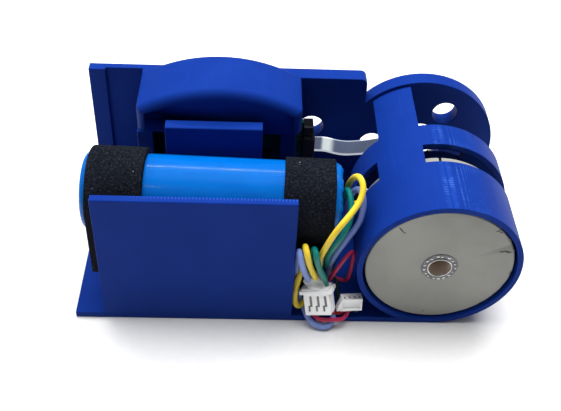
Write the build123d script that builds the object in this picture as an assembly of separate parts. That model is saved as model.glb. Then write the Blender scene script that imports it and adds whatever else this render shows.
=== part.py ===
from build123d import *
from math import atan2, cos, hypot, pi, radians, sin, sqrt, tan
import os

# Robot joint actuator: a printed chassis with a hollow-shaft motor, a lithium cell and drive electronics.
# Millimetres, +Z up. The origin is the middle of the footprint, on the surface that the chassis stands on.
# "Depth" is measured from the front face of the motor cup towards +Y.

# Chassis
overall_length = 124.0
overall_depth = 59.0
base_thickness = 2.0
axis_height = 22.5  # motor axis above the surface

# Motor cup
cup_radius = 22.5
cup_wall = 1.6
cup_front_length = 18.9
slot_length = 7.3
cup_length = 35.0
rib_from_angle = 102.0
rib_to_angle = 133.5
window_from_angle = 137.5  # upper end of the window on the left
slot_end_angle = -12.0  # lower end of the slot on the right
window_end_angle = 202.0  # lower end of the window on the left
bulkhead_front = 27.0
bulkhead_thickness = 3.0
foot_width = 12.0
vent_gap = 1.0
vent_half_angle = 24.0

# Rear wall and flange
wall_height = 46.5
wall_thickness = 5.0
panel_thickness = 2.2
rim_thickness = 3.2
rim_width = 5.0
wall_end_gap = 17.6  # from the wall's right end to the motor axis
wall_corner_radius = 2.0
flange_radius = 23.5
flange_bore_radius = 8.0
flange_hole_radius = 3.8
flange_hole_circle_radius = 14.2
cable_hole_from_axis = 33.5
cable_hole_height = 28.6

# Front plate and bay plate
plate_height = 45.0
front_plate_thickness = 2.4
front_plate_offset = 8.2  # from the base's left edge
front_plate_to_axis = 39.4  # room for the wires beside the motor cup
bay_plate_to_axis = 48.7
bay_plate_thickness = 3.7
bay_plate_depth = 30.4
bay_plate_offset = 24.6  # from the base's left edge
plate_edge_radius = 0.4

# Electronics housing
housing_offset = 16.0  # from the base's left edge
housing_to_axis = 37.5
housing_gap = 1.9  # behind the bay plate
lid_side_height = 46.5
lid_rise = 6.8
lid_wall = 2.4
lid_front_radius = 2.6
lid_side_radius = 0.8
frame_wall = 3.0
frame_inset = 1.5
frame_setback = 1.8
frame_post_width = 4.4

# Drive board
board_thickness = 1.6
board_to_wall = 6.2
board_foot = 5.0  # above the base plate
board_height = 29.0
board_headroom = 3.0  # below the lid's skirt
board_slot_depth = 1.2
board_fit = 0.1
board_tongue = 2.6  # how far the board reaches out of the housing
chip_thickness = 1.0
controller_place = (0.37, 0.38)  # shares of the board's length and height
controller_size = (0.15, 0.24)
transistor_place = (0.6, 0.17)
transistor_pitch = (0.117, 0.276)
transistor_size = (0.078, 0.18)
capacitor_places = (0.112, 0.263)
capacitor_height_share = 0.224
capacitor_radius_share = 0.0626
capacitor_reach_share = 0.59
capacitor_rim_share = 0.14
socket_width = 3.6
socket_depth = 5.4
socket_height = 13.0
socket_foot = 18.0
latch_height = 3.2
latch_gap = 0.8
latch_setback = 0.6
latch_neck = 2.0
ribbon_height = 5.4
ribbon_thickness = 0.35
ribbon_foot = 24.6
ribbon_bow = 2.0  # how far it bows towards the motor
ribbon_swell = 2.6  # how far it swells towards the wall
ribbon_turn_share = 0.76  # where it turns into the encoder's socket

# Cell and foam
cell_radius = 10.6
cell_inset = 3.9  # from the base's left edge
cell_to_cup = 4.1
cell_edge_radius = 1.0
cell_skew = 2.2
cell_middle_depth = 15.8
cell_height = 33.4
cap_radius = 4.4
cap_height = 1.5
cap_edge_radius = 0.5
cap_seat = 0.6  # depth of the recess that the raised contact stands in
base_recess = 0.2
insulator_thickness = 0.3
vent_ring_radius = 8.2
foam_left_thickness = 1.8
foam_left_width = 15.1
foam_left_inset = 1.7
foam_right_thickness = 1.0
foam_right_width = 13.4
foam_right_inset = 2.6
foam_tail_drop = 20.0
pad_width = 11.0
pad_depth = 8.0

# Motor
bell_radius = 20.2
bell_recess = 0.9
bell_face_thickness = 2.2
bell_wall = 1.5
bell_end = 23.0
bell_edge_radius = 0.35
bell_notch_width = 0.7
bell_notch_depth = 1.4
magnet_count = 14
magnet_thickness = 1.2
magnet_gap_angle = 3.0
magnet_front = 6.6
magnet_back = 21.4
air_gap = 0.4
slot_count = 12
stator_front = 7.4
stator_back = 20.6
tooth_width = 3.0
tooth_tip_thickness = 1.1
tooth_tip_gap_angle = 5.0
stator_yoke = 2.6
coil_overhang = 1.6
coil_gap = 0.12
coil_rounding = 0.85  # corner radius as a share of the winding's thickness
tube_radius = 8.6
mount_radius = 16.0
mount_front = 24.3
mount_screw_circle_radius = 12.0
mount_screw_radius = 1.25
screw_hole_clearance = 0.15
screw_head_radius = 2.3
screw_head_height = 1.5
screw_reach = 2.0
screw_count = 4
shaft_radius = 4.0
shaft_bore_radius = 3.05
shaft_back = 31.6
bearing_outer_radius = 7.0
bearing_width = 4.0
bearing_race = 0.75
bearing_shoulder = 1.4
bearing_end_gap = 0.4  # between the rear bearing and the bulkhead
ball_count = 9
front_bearing_depth = 4.6
tube_front = 4.2
rotor_fit = 0.03
lock_ring_radius = 5.0
lock_ring_thickness = 0.55
lock_ring_scallops = 8
scallop_radius = 0.55

# Encoder
encoder_magnet_radius = 6.0
encoder_magnet_length = 2.0
magnet_room = 2.5  # between the magnet and the bulkhead's hole
encoder_board_radius = 13.5
encoder_board_depth = 33.0
encoder_board_thickness = 1.2
encoder_post_radius = 1.8
encoder_post_circle_radius = 11.4
encoder_post_count = 4
encoder_screw_radius = 0.85
encoder_screw_head = 1.7
encoder_screw_head_height = 1.1
encoder_screw_gap = 0.5  # between the screw's end and the bulkhead
encoder_socket_to_axis = 8.4
screw_clearance = 0.05
encoder_chip_size = 4.4
encoder_chip_circle_radius = 6.9
encoder_chip_height = 0.9
encoder_socket_size = (7.2, 3.4, 4.2)

# Wires and their connectors
phase_wire_radius = 0.85
signal_wire_radius = 0.55
guide_x = -16.9  # from the motor axis
guide_depth = 24.7
guide_thickness = 2.0
guide_from = 16.6
guide_to = 29.5
phase_plug_x = -32.3  # from the motor axis
phase_plug_lean = 70.0
phase_plug_size = (7.4, 4.6, 8.4)
phase_plug_flange = (9.8, 5.4, 1.7)
phase_plug_edge = (-2.0, 4.8)  # depth and height of its lower front edge
phase_pitch = 2.5
phase_entry_run = 3.6  # straight run of each wire into the large plug
contact_window = (1.3, 1.0, 3.6)
contact_window_foot = 1.4
signal_plug_x = -23.0
signal_plug_lean = 60.0
signal_plug_size = (7.4, 2.8, 3.9)
signal_plug_edge = (-0.3, 5.2)
signal_pitch = 1.45
signal_plug_chamfer = 0.7

# Clearances
small_gap = 0.3

# Worked out from the values above
left_x = -overall_length / 2
front_y = -overall_depth / 2
back_y = overall_depth / 2
axis_x = overall_length / 2 - flange_radius
wall_depth = overall_depth - wall_thickness
bore_radius = cup_radius - cup_wall
left_to_axis = overall_length - flange_radius
front_plate_width = left_to_axis - front_plate_offset - front_plate_to_axis
bay_plate_width = left_to_axis - bay_plate_offset - bay_plate_to_axis
housing_width = left_to_axis - housing_offset - housing_to_axis
housing_depth = bay_plate_depth + bay_plate_thickness + housing_gap
board_depth = wall_depth - board_to_wall - board_thickness
lid_skirt_height = base_thickness + board_foot + board_height + board_headroom
cell_length = left_to_axis - cup_radius - cell_inset - cell_to_cup
cell_middle_offset = cell_inset + cell_length / 2
ring_front = cup_front_length + slot_length


def block(x0, x1, y0, y1, z0, z1):
    """A box between two corners, y measured behind the front face."""
    size = (x1 - x0, y1 - y0, z1 - z0)
    middle = ((x0 + x1) / 2, front_y + (y0 + y1) / 2, (z0 + z1) / 2)
    return Pos(*middle) * Box(*size)


def upright(sketch, start, end):
    """A sketch of x and height, from one depth to another."""
    plane = Plane(origin=(0, front_y + start, 0), x_dir=(1, 0, 0), z_dir=(0, -1, 0))
    return extrude(plane * sketch, amount=start - end)


def drum(sketch, start, end):
    """A sketch about the motor axis, from one depth to another."""
    plane = Plane(origin=(axis_x, front_y + start, axis_height), x_dir=(1, 0, 0), z_dir=(0, -1, 0))
    return extrude(plane * sketch, amount=start - end)


def ring(outer, inner, start, end):
    """A plain ring about the motor axis."""
    return drum(Circle(outer) - Circle(inner), start, end)


def polar(radius, angle):
    return (radius * cos(radians(angle)), radius * sin(radians(angle)))


def sector(inner, outer, from_angle, to_angle):
    """The part of a ring between two angles."""
    middle = (from_angle + to_angle) / 2
    edges = [
        ThreePointArc(polar(outer, from_angle), polar(outer, middle), polar(outer, to_angle)),
        Line(polar(outer, to_angle), polar(inner, to_angle)),
        ThreePointArc(polar(inner, to_angle), polar(inner, middle), polar(inner, from_angle)),
        Line(polar(inner, from_angle), polar(outer, from_angle)),
    ]
    return make_face(edges)


def around(count, start_angle=0.0):
    return [start_angle + 360.0 * number / count for number in range(count)]


def tray():
    """Base plate with the front plate and the bay plate standing on it."""
    seam_x = axis_x - foot_width
    panel_from = left_x + rim_width
    panel_to = left_x + housing_offset
    base = block(left_x, seam_x, 0, wall_depth, 0, base_thickness)
    base += block(left_x, panel_to, wall_depth, overall_depth - rim_thickness, 0, base_thickness)
    base += block(panel_from, panel_to, wall_depth, overall_depth - panel_thickness, 0, base_thickness)
    plate_x = left_x + front_plate_offset
    front = block(plate_x, plate_x + front_plate_width, 0, front_plate_thickness, 0, plate_height)
    bay_x = left_x + bay_plate_offset
    bay_end = bay_plate_depth + bay_plate_thickness
    bay = block(bay_x, bay_x + bay_plate_width, bay_plate_depth, bay_end, 0, plate_height)
    whole = base + front + bay
    tops = whole.edges().filter_by(Axis.X).group_by(Axis.Z)[-1]
    return fillet(tops, plate_edge_radius)


def back_wall():
    """Wall along the back, thin behind the open panel, which ends in the round flange."""
    end_x = axis_x - wall_end_gap
    wall = Pos((left_x + end_x) / 2, wall_height / 2) * Rectangle(end_x - left_x, wall_height)
    disc = Pos(axis_x, axis_height) * Circle(flange_radius)
    disc &= Pos(axis_x, wall_height / 2) * Rectangle(4 * flange_radius, wall_height)
    outline = wall + disc
    whole = upright(outline, wall_depth, overall_depth)
    corner = whole.edges().filter_by(Axis.Y).filter_by_position(Axis.X, end_x - 0.1, end_x + 0.1)
    whole = fillet(corner.filter_by_position(Axis.Z, wall_height - 0.1, wall_height + 0.1), wall_corner_radius)
    panel_from = left_x + rim_width
    panel_to = left_x + housing_offset
    below = -1.0
    above = wall_height + 1.0
    whole -= block(left_x - 1, panel_to, wall_depth - 1, overall_depth - rim_thickness, below, above)
    whole -= block(panel_from, panel_to, wall_depth - 1, overall_depth - panel_thickness, below, above)
    holes = Pos(axis_x, axis_height) * Circle(flange_bore_radius)
    for angle in around(3, 60.0):
        across, up = polar(flange_hole_circle_radius, angle)
        holes += Pos(axis_x + across, axis_height + up) * Circle(flange_hole_radius)
    holes += Pos(axis_x - cable_hole_from_axis, cable_hole_height) * Circle(flange_hole_radius)
    whole -= upright(holes, wall_depth - 1, overall_depth + 1)
    return whole


def motor_housing():
    """Motor cup, slotted on both sides of one rib that runs back to the flange."""
    reach = sqrt(cup_radius**2 - (cup_radius - base_thickness) ** 2)
    bottom = -axis_height
    outline = make_face(
        [
            Line((-foot_width, bottom), (0, bottom)),
            ThreePointArc((0, bottom), (cup_radius, bottom + cup_radius), (0, bottom + 2 * cup_radius)),
            ThreePointArc(
                (0, bottom + 2 * cup_radius),
                (-cup_radius, bottom + cup_radius),
                (-reach, bottom + base_thickness),
            ),
            Line((-reach, bottom + base_thickness), (-foot_width, bottom + base_thickness)),
            Line((-foot_width, bottom + base_thickness), (-foot_width, bottom)),
        ]
    )
    whole = drum(outline, 0, cup_length)
    bulkhead_back = bulkhead_front + bulkhead_thickness
    whole -= drum(Circle(bore_radius), -1, bulkhead_front)
    whole -= drum(Circle(bore_radius), bulkhead_back, cup_length + 1)
    deep = bore_radius - cup_wall
    high = cup_radius + cup_wall
    whole -= drum(sector(deep, high, slot_end_angle, rib_from_angle), cup_front_length, ring_front)
    whole -= drum(sector(deep, high, window_from_angle, window_end_angle), cup_front_length, ring_front)
    whole += drum(sector(bore_radius, cup_radius, rib_from_angle, rib_to_angle), cup_length, wall_depth)
    foot_from = axis_x - foot_width
    whole += block(foot_from, axis_x, cup_length, wall_depth, 0, base_thickness)
    openings = Circle(encoder_magnet_radius + magnet_room)
    screw_hole = Circle(mount_screw_radius + screw_hole_clearance)
    vent = sector(mount_radius + vent_gap, bore_radius - vent_gap, -vent_half_angle, vent_half_angle)
    for angle in around(screw_count, 45.0):
        openings += Pos(*polar(mount_screw_circle_radius, angle)) * screw_hole
    for angle in around(screw_count):
        openings += Rot(0, 0, angle) * vent
    whole -= drum(openings, bulkhead_front - 1, bulkhead_back + 1)
    return whole


def lid_arc(half_width, side_height, rise, bottom):
    """Outline with straight sides and a round top."""
    edges = [
        Line((-half_width, bottom), (half_width, bottom)),
        Line((half_width, bottom), (half_width, side_height)),
        ThreePointArc((half_width, side_height), (0, side_height + rise), (-half_width, side_height)),
        Line((-half_width, side_height), (-half_width, bottom)),
    ]
    return make_face(edges)


def housing_lid():
    """Arched cover with a skirt at the front and both sides, open at the back against the wall."""
    middle_x = left_x + housing_offset + housing_width / 2
    half = housing_width / 2
    outer = Pos(middle_x, 0) * lid_arc(half, lid_side_height, lid_rise, lid_skirt_height)
    whole = upright(outer, housing_depth, wall_depth)
    sides = whole.edges().filter_by(Axis.Y).filter_by_position(Axis.Z, lid_side_height - 0.1, lid_side_height + 0.1)
    whole = fillet(sides, lid_side_radius)
    rim = whole.faces().sort_by(Axis.Y)[0].edges()
    rim = rim.filter_by_position(Axis.Z, lid_skirt_height + 1, lid_side_height + lid_rise)
    whole = fillet(rim.filter_by(GeomType.CIRCLE), lid_front_radius)
    inner = Pos(middle_x, 0) * lid_arc(half - lid_wall, lid_side_height - lid_wall, lid_rise, 0)
    whole -= upright(inner, housing_depth + lid_wall, wall_depth + 1)
    return whole


def housing_frame():
    """Side walls and front posts under the lid, slotted for the drive board."""
    left = left_x + housing_offset
    right = left + housing_width - frame_inset
    front = housing_depth + frame_setback
    whole = block(left, left + frame_wall, housing_depth, wall_depth, base_thickness, lid_skirt_height)
    whole += block(left, left + frame_post_width, housing_depth, front, base_thickness, lid_skirt_height)
    whole += block(right - frame_wall, right, front, wall_depth, base_thickness, lid_skirt_height)
    post_back = front + frame_wall
    whole += block(right - frame_post_width, right, front, post_back, base_thickness, lid_skirt_height)
    slot_from = board_depth - board_fit
    slot_to = board_depth + board_thickness + board_fit
    foot = base_thickness + board_foot - board_fit
    slot_left = left + frame_wall - board_slot_depth - board_fit
    whole -= block(slot_left, left + frame_wall + 1, slot_from, slot_to, foot, lid_skirt_height + 1)
    top = base_thickness + board_foot + board_height + board_fit
    whole -= block(right - frame_wall - 1, right + 1, slot_from, slot_to, foot, top)
    return whole


def board_span():
    """The drive board's two ends."""
    left = left_x + housing_offset
    right = left + housing_width - frame_inset
    return left + frame_wall - board_slot_depth, right + board_tongue


def drive_board():
    start, end = board_span()
    foot = base_thickness + board_foot
    return block(start, end, board_depth, board_depth + board_thickness, foot, foot + board_height)


def board_item(place, size, depth):
    """A component on the board's front face, its lower left corner and size as shares of the board."""
    start, end = board_span()
    length = end - start
    foot = base_thickness + board_foot
    left = start + place[0] * length
    low = foot + place[1] * board_height
    right = left + size[0] * length
    high = low + size[1] * board_height
    return block(left, right, board_depth - depth, board_depth, low, high)


def drive_controller():
    return board_item(controller_place, controller_size, chip_thickness)


def drive_transistors():
    chips = []
    for row in (0, 1):
        for column in (0, 1):
            place = (
                transistor_place[0] + column * transistor_pitch[0],
                transistor_place[1] + row * transistor_pitch[1],
            )
            chips.append(board_item(place, transistor_size, chip_thickness))
    return Compound(chips)


def drive_capacitors():
    """Two round capacitors lying against the board."""
    start, end = board_span()
    length = end - start
    radius = capacitor_radius_share * length
    reach = capacitor_reach_share * (board_depth - housing_depth)
    cans = []
    for place_along in capacitor_places:
        height = base_thickness + board_foot + capacitor_height_share * board_height
        place = Pos(start + place_along * length, front_y + board_depth, height)
        can = Rot(90, 0, 0) * Cylinder(radius, reach, align=(Align.CENTER, Align.CENTER, Align.MIN))
        rim = can.edges().sort_by(Axis.Y)[0]
        cans.append(place * fillet(rim, capacitor_rim_share * radius))
    return Compound(cans)


def ribbon_socket():
    """Flat-cable socket at the board's end, with its latch bar above."""
    end = board_span()[1]
    start = end
    middle = board_depth + board_thickness / 2
    front = middle - socket_depth / 2
    body = block(start, start + socket_width, front, front + socket_depth, socket_foot, socket_foot + socket_height)
    top = socket_foot + socket_height
    latch_front = front + latch_setback
    neck_front = latch_front + latch_setback
    neck_end = start + socket_width - 2 * latch_setback
    neck = block(start, neck_end, neck_front, neck_front + latch_neck, top, top + latch_gap)
    latch_foot = top + latch_gap
    latch_end = start + socket_width - latch_setback
    latch = block(start, latch_end, latch_front, front + socket_depth, latch_foot, latch_foot + latch_height)
    return body + neck + latch


def encoder_ribbon():
    """Flat cable on edge, bowed from the drive board's socket round to the encoder's socket."""
    start_x = board_span()[1] + socket_width
    start_y = front_y + board_depth + board_thickness / 2
    end_x, end_y = encoder_socket_mouth()
    span = end_x - start_x
    route = [
        (start_x, start_y),
        (start_x + 0.13 * span, start_y),
        (start_x + 0.35 * span, start_y - ribbon_bow),
        (start_x + 0.7 * span, start_y - 0.45 * ribbon_bow),
        (start_x + 1.09 * span, start_y + ribbon_swell),
        (end_x, end_y + ribbon_turn_share * (start_y - end_y)),
        (end_x, end_y),
    ]
    line = FilletPolyline(*route, radius=smooth_radii(route))
    strip = extrude(trace(line, ribbon_thickness), amount=ribbon_height)
    return Pos(0, 0, ribbon_foot) * strip


def smooth_radii(points):
    """Radius for each inner corner: nearly half of the shorter run beside it goes into the bend."""
    radii = []
    for before, corner, after in zip(points, points[1:], points[2:]):
        into = [b - a for a, b in zip(before, corner)]
        out = [b - a for a, b in zip(corner, after)]
        first = hypot(*into)
        second = hypot(*out)
        cosine = sum(a * b for a, b in zip(into, out)) / (first * second)
        half_turn = 0.5 * atan2(sqrt(max(0.0, 1 - cosine * cosine)), cosine)
        radii.append(0.45 * min(first, second) / tan(half_turn))
    return radii


def encoder_board():
    outline = Circle(encoder_board_radius) - Circle(shaft_radius)
    for angle in around(encoder_post_count):
        outline -= Pos(*polar(encoder_post_circle_radius, angle)) * Circle(encoder_screw_radius + screw_clearance)
    return drum(outline, encoder_board_depth, encoder_board_depth + encoder_board_thickness)


def encoder_posts():
    """Posts between the bulkhead and the encoder board."""
    start = bulkhead_front + bulkhead_thickness
    shape = Circle(encoder_post_radius) - Circle(encoder_screw_radius + screw_clearance)
    posts = []
    for angle in around(encoder_post_count):
        posts.append(drum(Pos(*polar(encoder_post_circle_radius, angle)) * shape, start, encoder_board_depth))
    return Compound(posts)


def encoder_screws():
    """Screws through the encoder board into its posts."""
    start = bulkhead_front + bulkhead_thickness
    back = encoder_board_depth + encoder_board_thickness
    screws = []
    for angle in around(encoder_post_count):
        place = Pos(*polar(encoder_post_circle_radius, angle))
        shank = drum(place * Circle(encoder_screw_radius), start + encoder_screw_gap, back)
        head = drum(place * Circle(encoder_screw_head), back, back + encoder_screw_head_height)
        screws.append(shank + head)
    return Compound(screws)


def encoder_chip():
    place = Pos(*polar(encoder_chip_circle_radius, 0)) * Rectangle(encoder_chip_size, encoder_chip_size)
    return drum(place, encoder_board_depth - encoder_chip_height, encoder_board_depth)


def encoder_socket_mouth():
    """Where the flat cable enters the encoder's socket."""
    length = encoder_socket_size[2]
    return axis_x - encoder_socket_to_axis, front_y + encoder_board_depth + encoder_board_thickness + length


def encoder_socket():
    width, wall, length = encoder_socket_size
    middle_z = ribbon_foot + ribbon_height / 2
    across = encoder_socket_mouth()[0] - axis_x
    start = encoder_board_depth + encoder_board_thickness
    shape = Pos(across, middle_z - axis_height) * Rectangle(wall, width)
    return drum(shape, start, start + length)


def lying(shape):
    """Places a piece of the cell, built along X about its own middle, on the tray."""
    place = Pos(left_x + cell_middle_offset, front_y + cell_middle_depth, cell_height)
    return place * Rot(0, 0, -cell_skew) * shape


def along_x(sketch, start, end):
    """A sketch of y and z in the cell's own frame, from one x to another."""
    return extrude(Plane(origin=(start, 0, 0), x_dir=(0, 1, 0), z_dir=(1, 0, 0)) * sketch, amount=end - start)


def cell_body():
    half = cell_length / 2
    body = along_x(Circle(cell_radius), -half, half)
    body = fillet(body.edges().filter_by(GeomType.CIRCLE), cell_edge_radius)
    body -= along_x(Circle(vent_ring_radius), -half - 1, -half + cap_seat)
    body -= along_x(Circle(vent_ring_radius), half - base_recess, half + 1)
    return lying(body)


def cell_cap():
    """Raised contact at the left end."""
    start = cap_seat - cell_length / 2
    cap = along_x(Circle(cap_radius), start - cap_height, start)
    cap = fillet(cap.edges().sort_by(Axis.X)[0], cap_edge_radius)
    return lying(cap)


def cell_insulator():
    """Ring round the raised contact."""
    start = cap_seat - cell_length / 2
    return lying(along_x(Circle(vent_ring_radius) - Circle(cap_radius), start - insulator_thickness, start))


def foam_left_span():
    """Where the left wrap starts and ends along the cell."""
    start = -cell_length / 2 + foam_left_inset
    return (start, start + foam_left_width)


def foam_right_span():
    """Where the right wrap starts and ends along the cell."""
    end = cell_length / 2 - foam_right_inset
    return (end - foam_right_width, end)


def foam_wrap(span, thickness, tail_drop):
    """Foam strip round the cell, with any loose tail hanging at the front."""
    outer = cell_radius + thickness
    section = Circle(outer)
    if tail_drop:
        section += Pos(-outer + thickness / 2, -tail_drop / 2) * Rectangle(thickness, tail_drop)
    section -= Circle(cell_radius)
    return lying(along_x(section, *span))


def foam_pad(span, thickness):
    """Foam block between the base plate and the wrap."""
    outer = cell_radius + thickness
    middle = (span[0] + span[1]) / 2
    drop = base_thickness - cell_height
    height = -drop - outer / 2
    section = Pos(0, drop + height / 2) * Rectangle(pad_depth, height)
    section -= Circle(outer)
    return lying(along_x(section, middle - pad_width / 2, middle + pad_width / 2))


def rotor_bell():
    """End bell and can in one turned cup."""
    face_back = bell_recess + bell_face_thickness
    whole = ring(bell_radius, shaft_radius, bell_recess, bell_end)
    whole -= ring(bell_radius - bell_wall, shaft_radius / 2, face_back, bell_end + 1)
    rim = whole.faces().sort_by(Axis.Y)[0].edges().sort_by(SortBy.LENGTH)[-1]
    whole = fillet(rim, bell_edge_radius)
    slit = Pos(0, bell_radius) * Rectangle(bell_notch_width, 4 * bell_wall)
    whole -= drum(slit, bell_end - bell_notch_depth, bell_end + 1)
    return whole


def rotor_magnets():
    outer = bell_radius - bell_wall
    half_angle = (360.0 / magnet_count - magnet_gap_angle) / 2
    shape = sector(outer - magnet_thickness, outer, -half_angle, half_angle)
    pieces = [drum(Rot(0, 0, angle) * shape, magnet_front, magnet_back) for angle in around(magnet_count)]
    return Compound(pieces)


def stator_radius():
    return bell_radius - bell_wall - magnet_thickness - air_gap


def stator_core():
    """Laminated star: a yoke with a T-shaped tooth for each slot."""
    outer = stator_radius()
    pitch = 360.0 / slot_count
    shape = Circle(tube_radius + stator_yoke)
    length = outer - tube_radius - stator_yoke / 2
    half_angle = (pitch - tooth_tip_gap_angle) / 2
    tooth = Pos(outer - (tooth_tip_thickness + length) / 2, 0) * Rectangle(length, tooth_width)
    tooth += sector(outer - tooth_tip_thickness, outer, -half_angle, half_angle)
    for angle in around(slot_count, pitch / 2):
        shape += Rot(0, 0, angle) * tooth
    shape -= Circle(tube_radius)
    return drum(shape, stator_front, stator_back)


def stator_coils():
    """One winding round each tooth."""
    inner = tube_radius + stator_yoke + small_gap
    pitch = 360.0 / slot_count
    half_width = inner * tan(radians(pitch / 2)) - coil_gap
    coil_thickness = half_width - tooth_width / 2
    outer = sqrt((stator_radius() - tooth_tip_thickness) ** 2 - half_width**2) - coil_gap
    coils = []
    depth = stator_back - stator_front
    for angle in around(slot_count, pitch / 2):
        body = Box(outer - inner, tooth_width + 2 * coil_thickness, depth + 2 * coil_overhang)
        body = fillet(body.edges().filter_by(Axis.X), coil_thickness * coil_rounding)
        body -= Box(outer - inner + 1, tooth_width, depth)
        along = (inner + outer) / 2
        upward = Rot(0, -angle, 0) * Pos(along, 0, 0) * Rot(90, 0, 0) * body
        middle = front_y + (stator_front + stator_back) / 2
        coils.append(Pos(axis_x, middle, axis_height) * upward)
    return Compound(coils)


def rear_bearing_depth():
    return bulkhead_front - bearing_width - bearing_end_gap


def stator_mount():
    """Turned mount: a disc on the bulkhead and the tube that holds both bearings."""
    whole = drum(Circle(tube_radius), tube_front, bulkhead_front)
    whole += drum(Circle(mount_radius), mount_front, bulkhead_front)
    whole -= drum(Circle(bearing_outer_radius - bearing_shoulder), tube_front - 1, bulkhead_front + 1)
    whole -= drum(Circle(bearing_outer_radius), tube_front - 1, front_bearing_depth + bearing_width)
    whole -= drum(Circle(bearing_outer_radius), rear_bearing_depth(), bulkhead_front + 1)
    for angle in around(screw_count, 45.0):
        spot = Pos(*polar(mount_screw_circle_radius, angle)) * Circle(mount_screw_radius)
        whole -= drum(spot, mount_front - 1, bulkhead_front + 1)
    return whole


def mount_screws():
    """Screws from behind the bulkhead into the mount."""
    back = bulkhead_front + bulkhead_thickness
    screws = []
    for angle in around(screw_count, 45.0):
        place = Pos(*polar(mount_screw_circle_radius, angle))
        shank = drum(place * Circle(mount_screw_radius), bulkhead_front - screw_reach, back)
        head = drum(place * Circle(screw_head_radius), back, back + screw_head_height)
        screws.append(shank + head)
    return Compound(screws)


def bearing_pieces(start):
    """Outer race, inner race and balls of one bearing."""
    end = start + bearing_width
    pitch_radius = (shaft_radius + bearing_outer_radius) / 2
    outer = ring(bearing_outer_radius, bearing_outer_radius - bearing_race, start, end)
    inner = ring(shaft_radius + bearing_race, shaft_radius, start, end)
    middle = front_y + (start + end) / 2
    ball_radius = bearing_outer_radius - bearing_race - pitch_radius - rotor_fit
    balls = []
    for angle in around(ball_count):
        across, up = polar(pitch_radius, angle)
        balls.append(Pos(axis_x + across, middle, axis_height + up) * Sphere(ball_radius))
    return outer, inner, Compound(balls)


def output_shaft():
    """Hollow shaft through the whole motor."""
    return ring(shaft_radius, shaft_bore_radius, bell_recess, shaft_back)


def lock_ring():
    """Scalloped ring round the bore on the motor's face."""
    shape = Circle(lock_ring_radius) - Circle(shaft_bore_radius)
    for angle in around(lock_ring_scallops, 22.5):
        shape -= Pos(*polar(lock_ring_radius, angle)) * Circle(scallop_radius)
    return drum(shape, bell_recess - lock_ring_thickness, bell_recess)


def encoder_magnet():
    start = shaft_back - encoder_magnet_length
    return ring(encoder_magnet_radius, shaft_radius, start, shaft_back)


def wire_guide():
    """Block on the mount's rim that the wires leave through."""
    middle = Pos((guide_x - mount_radius / 2) / 2, (guide_from + guide_to) / 2 - axis_height)
    shape = middle * Rectangle(-guide_x - mount_radius / 2, guide_to - guide_from)
    shape -= Circle(mount_radius)
    return drum(shape, guide_depth - guide_thickness / 2, guide_depth + guide_thickness / 2)


def leaning(x, edge, lean, shape):
    """Places a plug, built standing on its lower front edge, so that it leans back."""
    return Pos(axis_x + x, front_y + edge[0], edge[1]) * Rot(lean - 90, 0, 0) * shape


def phase_plug():
    """Housing of three contacts with a flange where the wires go in."""
    width, thickness, length = phase_plug_size
    flange_width, flange_thickness, flange_length = phase_plug_flange
    low = (Align.CENTER, Align.MIN, Align.MIN)
    body = Box(width, thickness, length, align=low)
    flange = Pos(0, (thickness - flange_thickness) / 2, length - flange_length) * Box(
        flange_width, flange_thickness, flange_length, align=low
    )
    whole = body + flange
    for number in (-1, 0, 1):
        whole -= Pos(number * phase_pitch, 0, contact_window_foot) * Box(*contact_window, align=low)
    return leaning(phase_plug_x, phase_plug_edge, phase_plug_lean, whole)


def signal_plug():
    """Small housing of five contacts, standing on its wires."""
    width, thickness, length = signal_plug_size
    low = (Align.CENTER, Align.MIN, Align.MIN)
    whole = Box(width, thickness, length, align=low)
    top = whole.edges().filter_by(Axis.Y).group_by(Axis.Z)[-1]
    whole = chamfer(top, signal_plug_chamfer)
    return leaning(signal_plug_x, signal_plug_edge, signal_plug_lean, whole)


def plug_point(x, edge, lean, across, back, up):
    """A point given in a plug's own frame, in the wires' frame."""
    angle = radians(lean)
    depth = edge[0] + back * sin(angle) + up * cos(angle)
    height = edge[1] - back * cos(angle) + up * sin(angle)
    return (x + across, depth, height)


def phase_entry(number, run):
    """Where a wire enters the large plug, or a point that far above it."""
    thickness, length = phase_plug_size[1:]
    across = number * phase_pitch
    return plug_point(phase_plug_x, phase_plug_edge, phase_plug_lean, across, thickness / 2, length + run)


def signal_entry(number, run):
    """Where a wire enters the small plug from below, or a point that far under it."""
    across = number * signal_pitch
    back = signal_plug_size[1] / 2
    return plug_point(signal_plug_x, signal_plug_edge, signal_plug_lean, across, back, -run)


def wire(name, radius, points):
    """A round wire along straight runs joined by arcs. Points are x from the motor axis, depth and height."""
    points = [(axis_x + x, front_y + y, z) for x, y, z in points]
    radii = smooth_radii(points)
    path = FilletPolyline(*points, radius=radii)
    start = Plane(origin=path @ 0, z_dir=path % 0)
    tube = sweep(start * Circle(radius), path=path)
    print(name, "length", round(path.length, 1), "radii", [round(r, 1) for r in radii])
    print("  volume / (section x length)", round(tube.volume / (pi * radius**2 * path.length), 4))
    return tube


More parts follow.
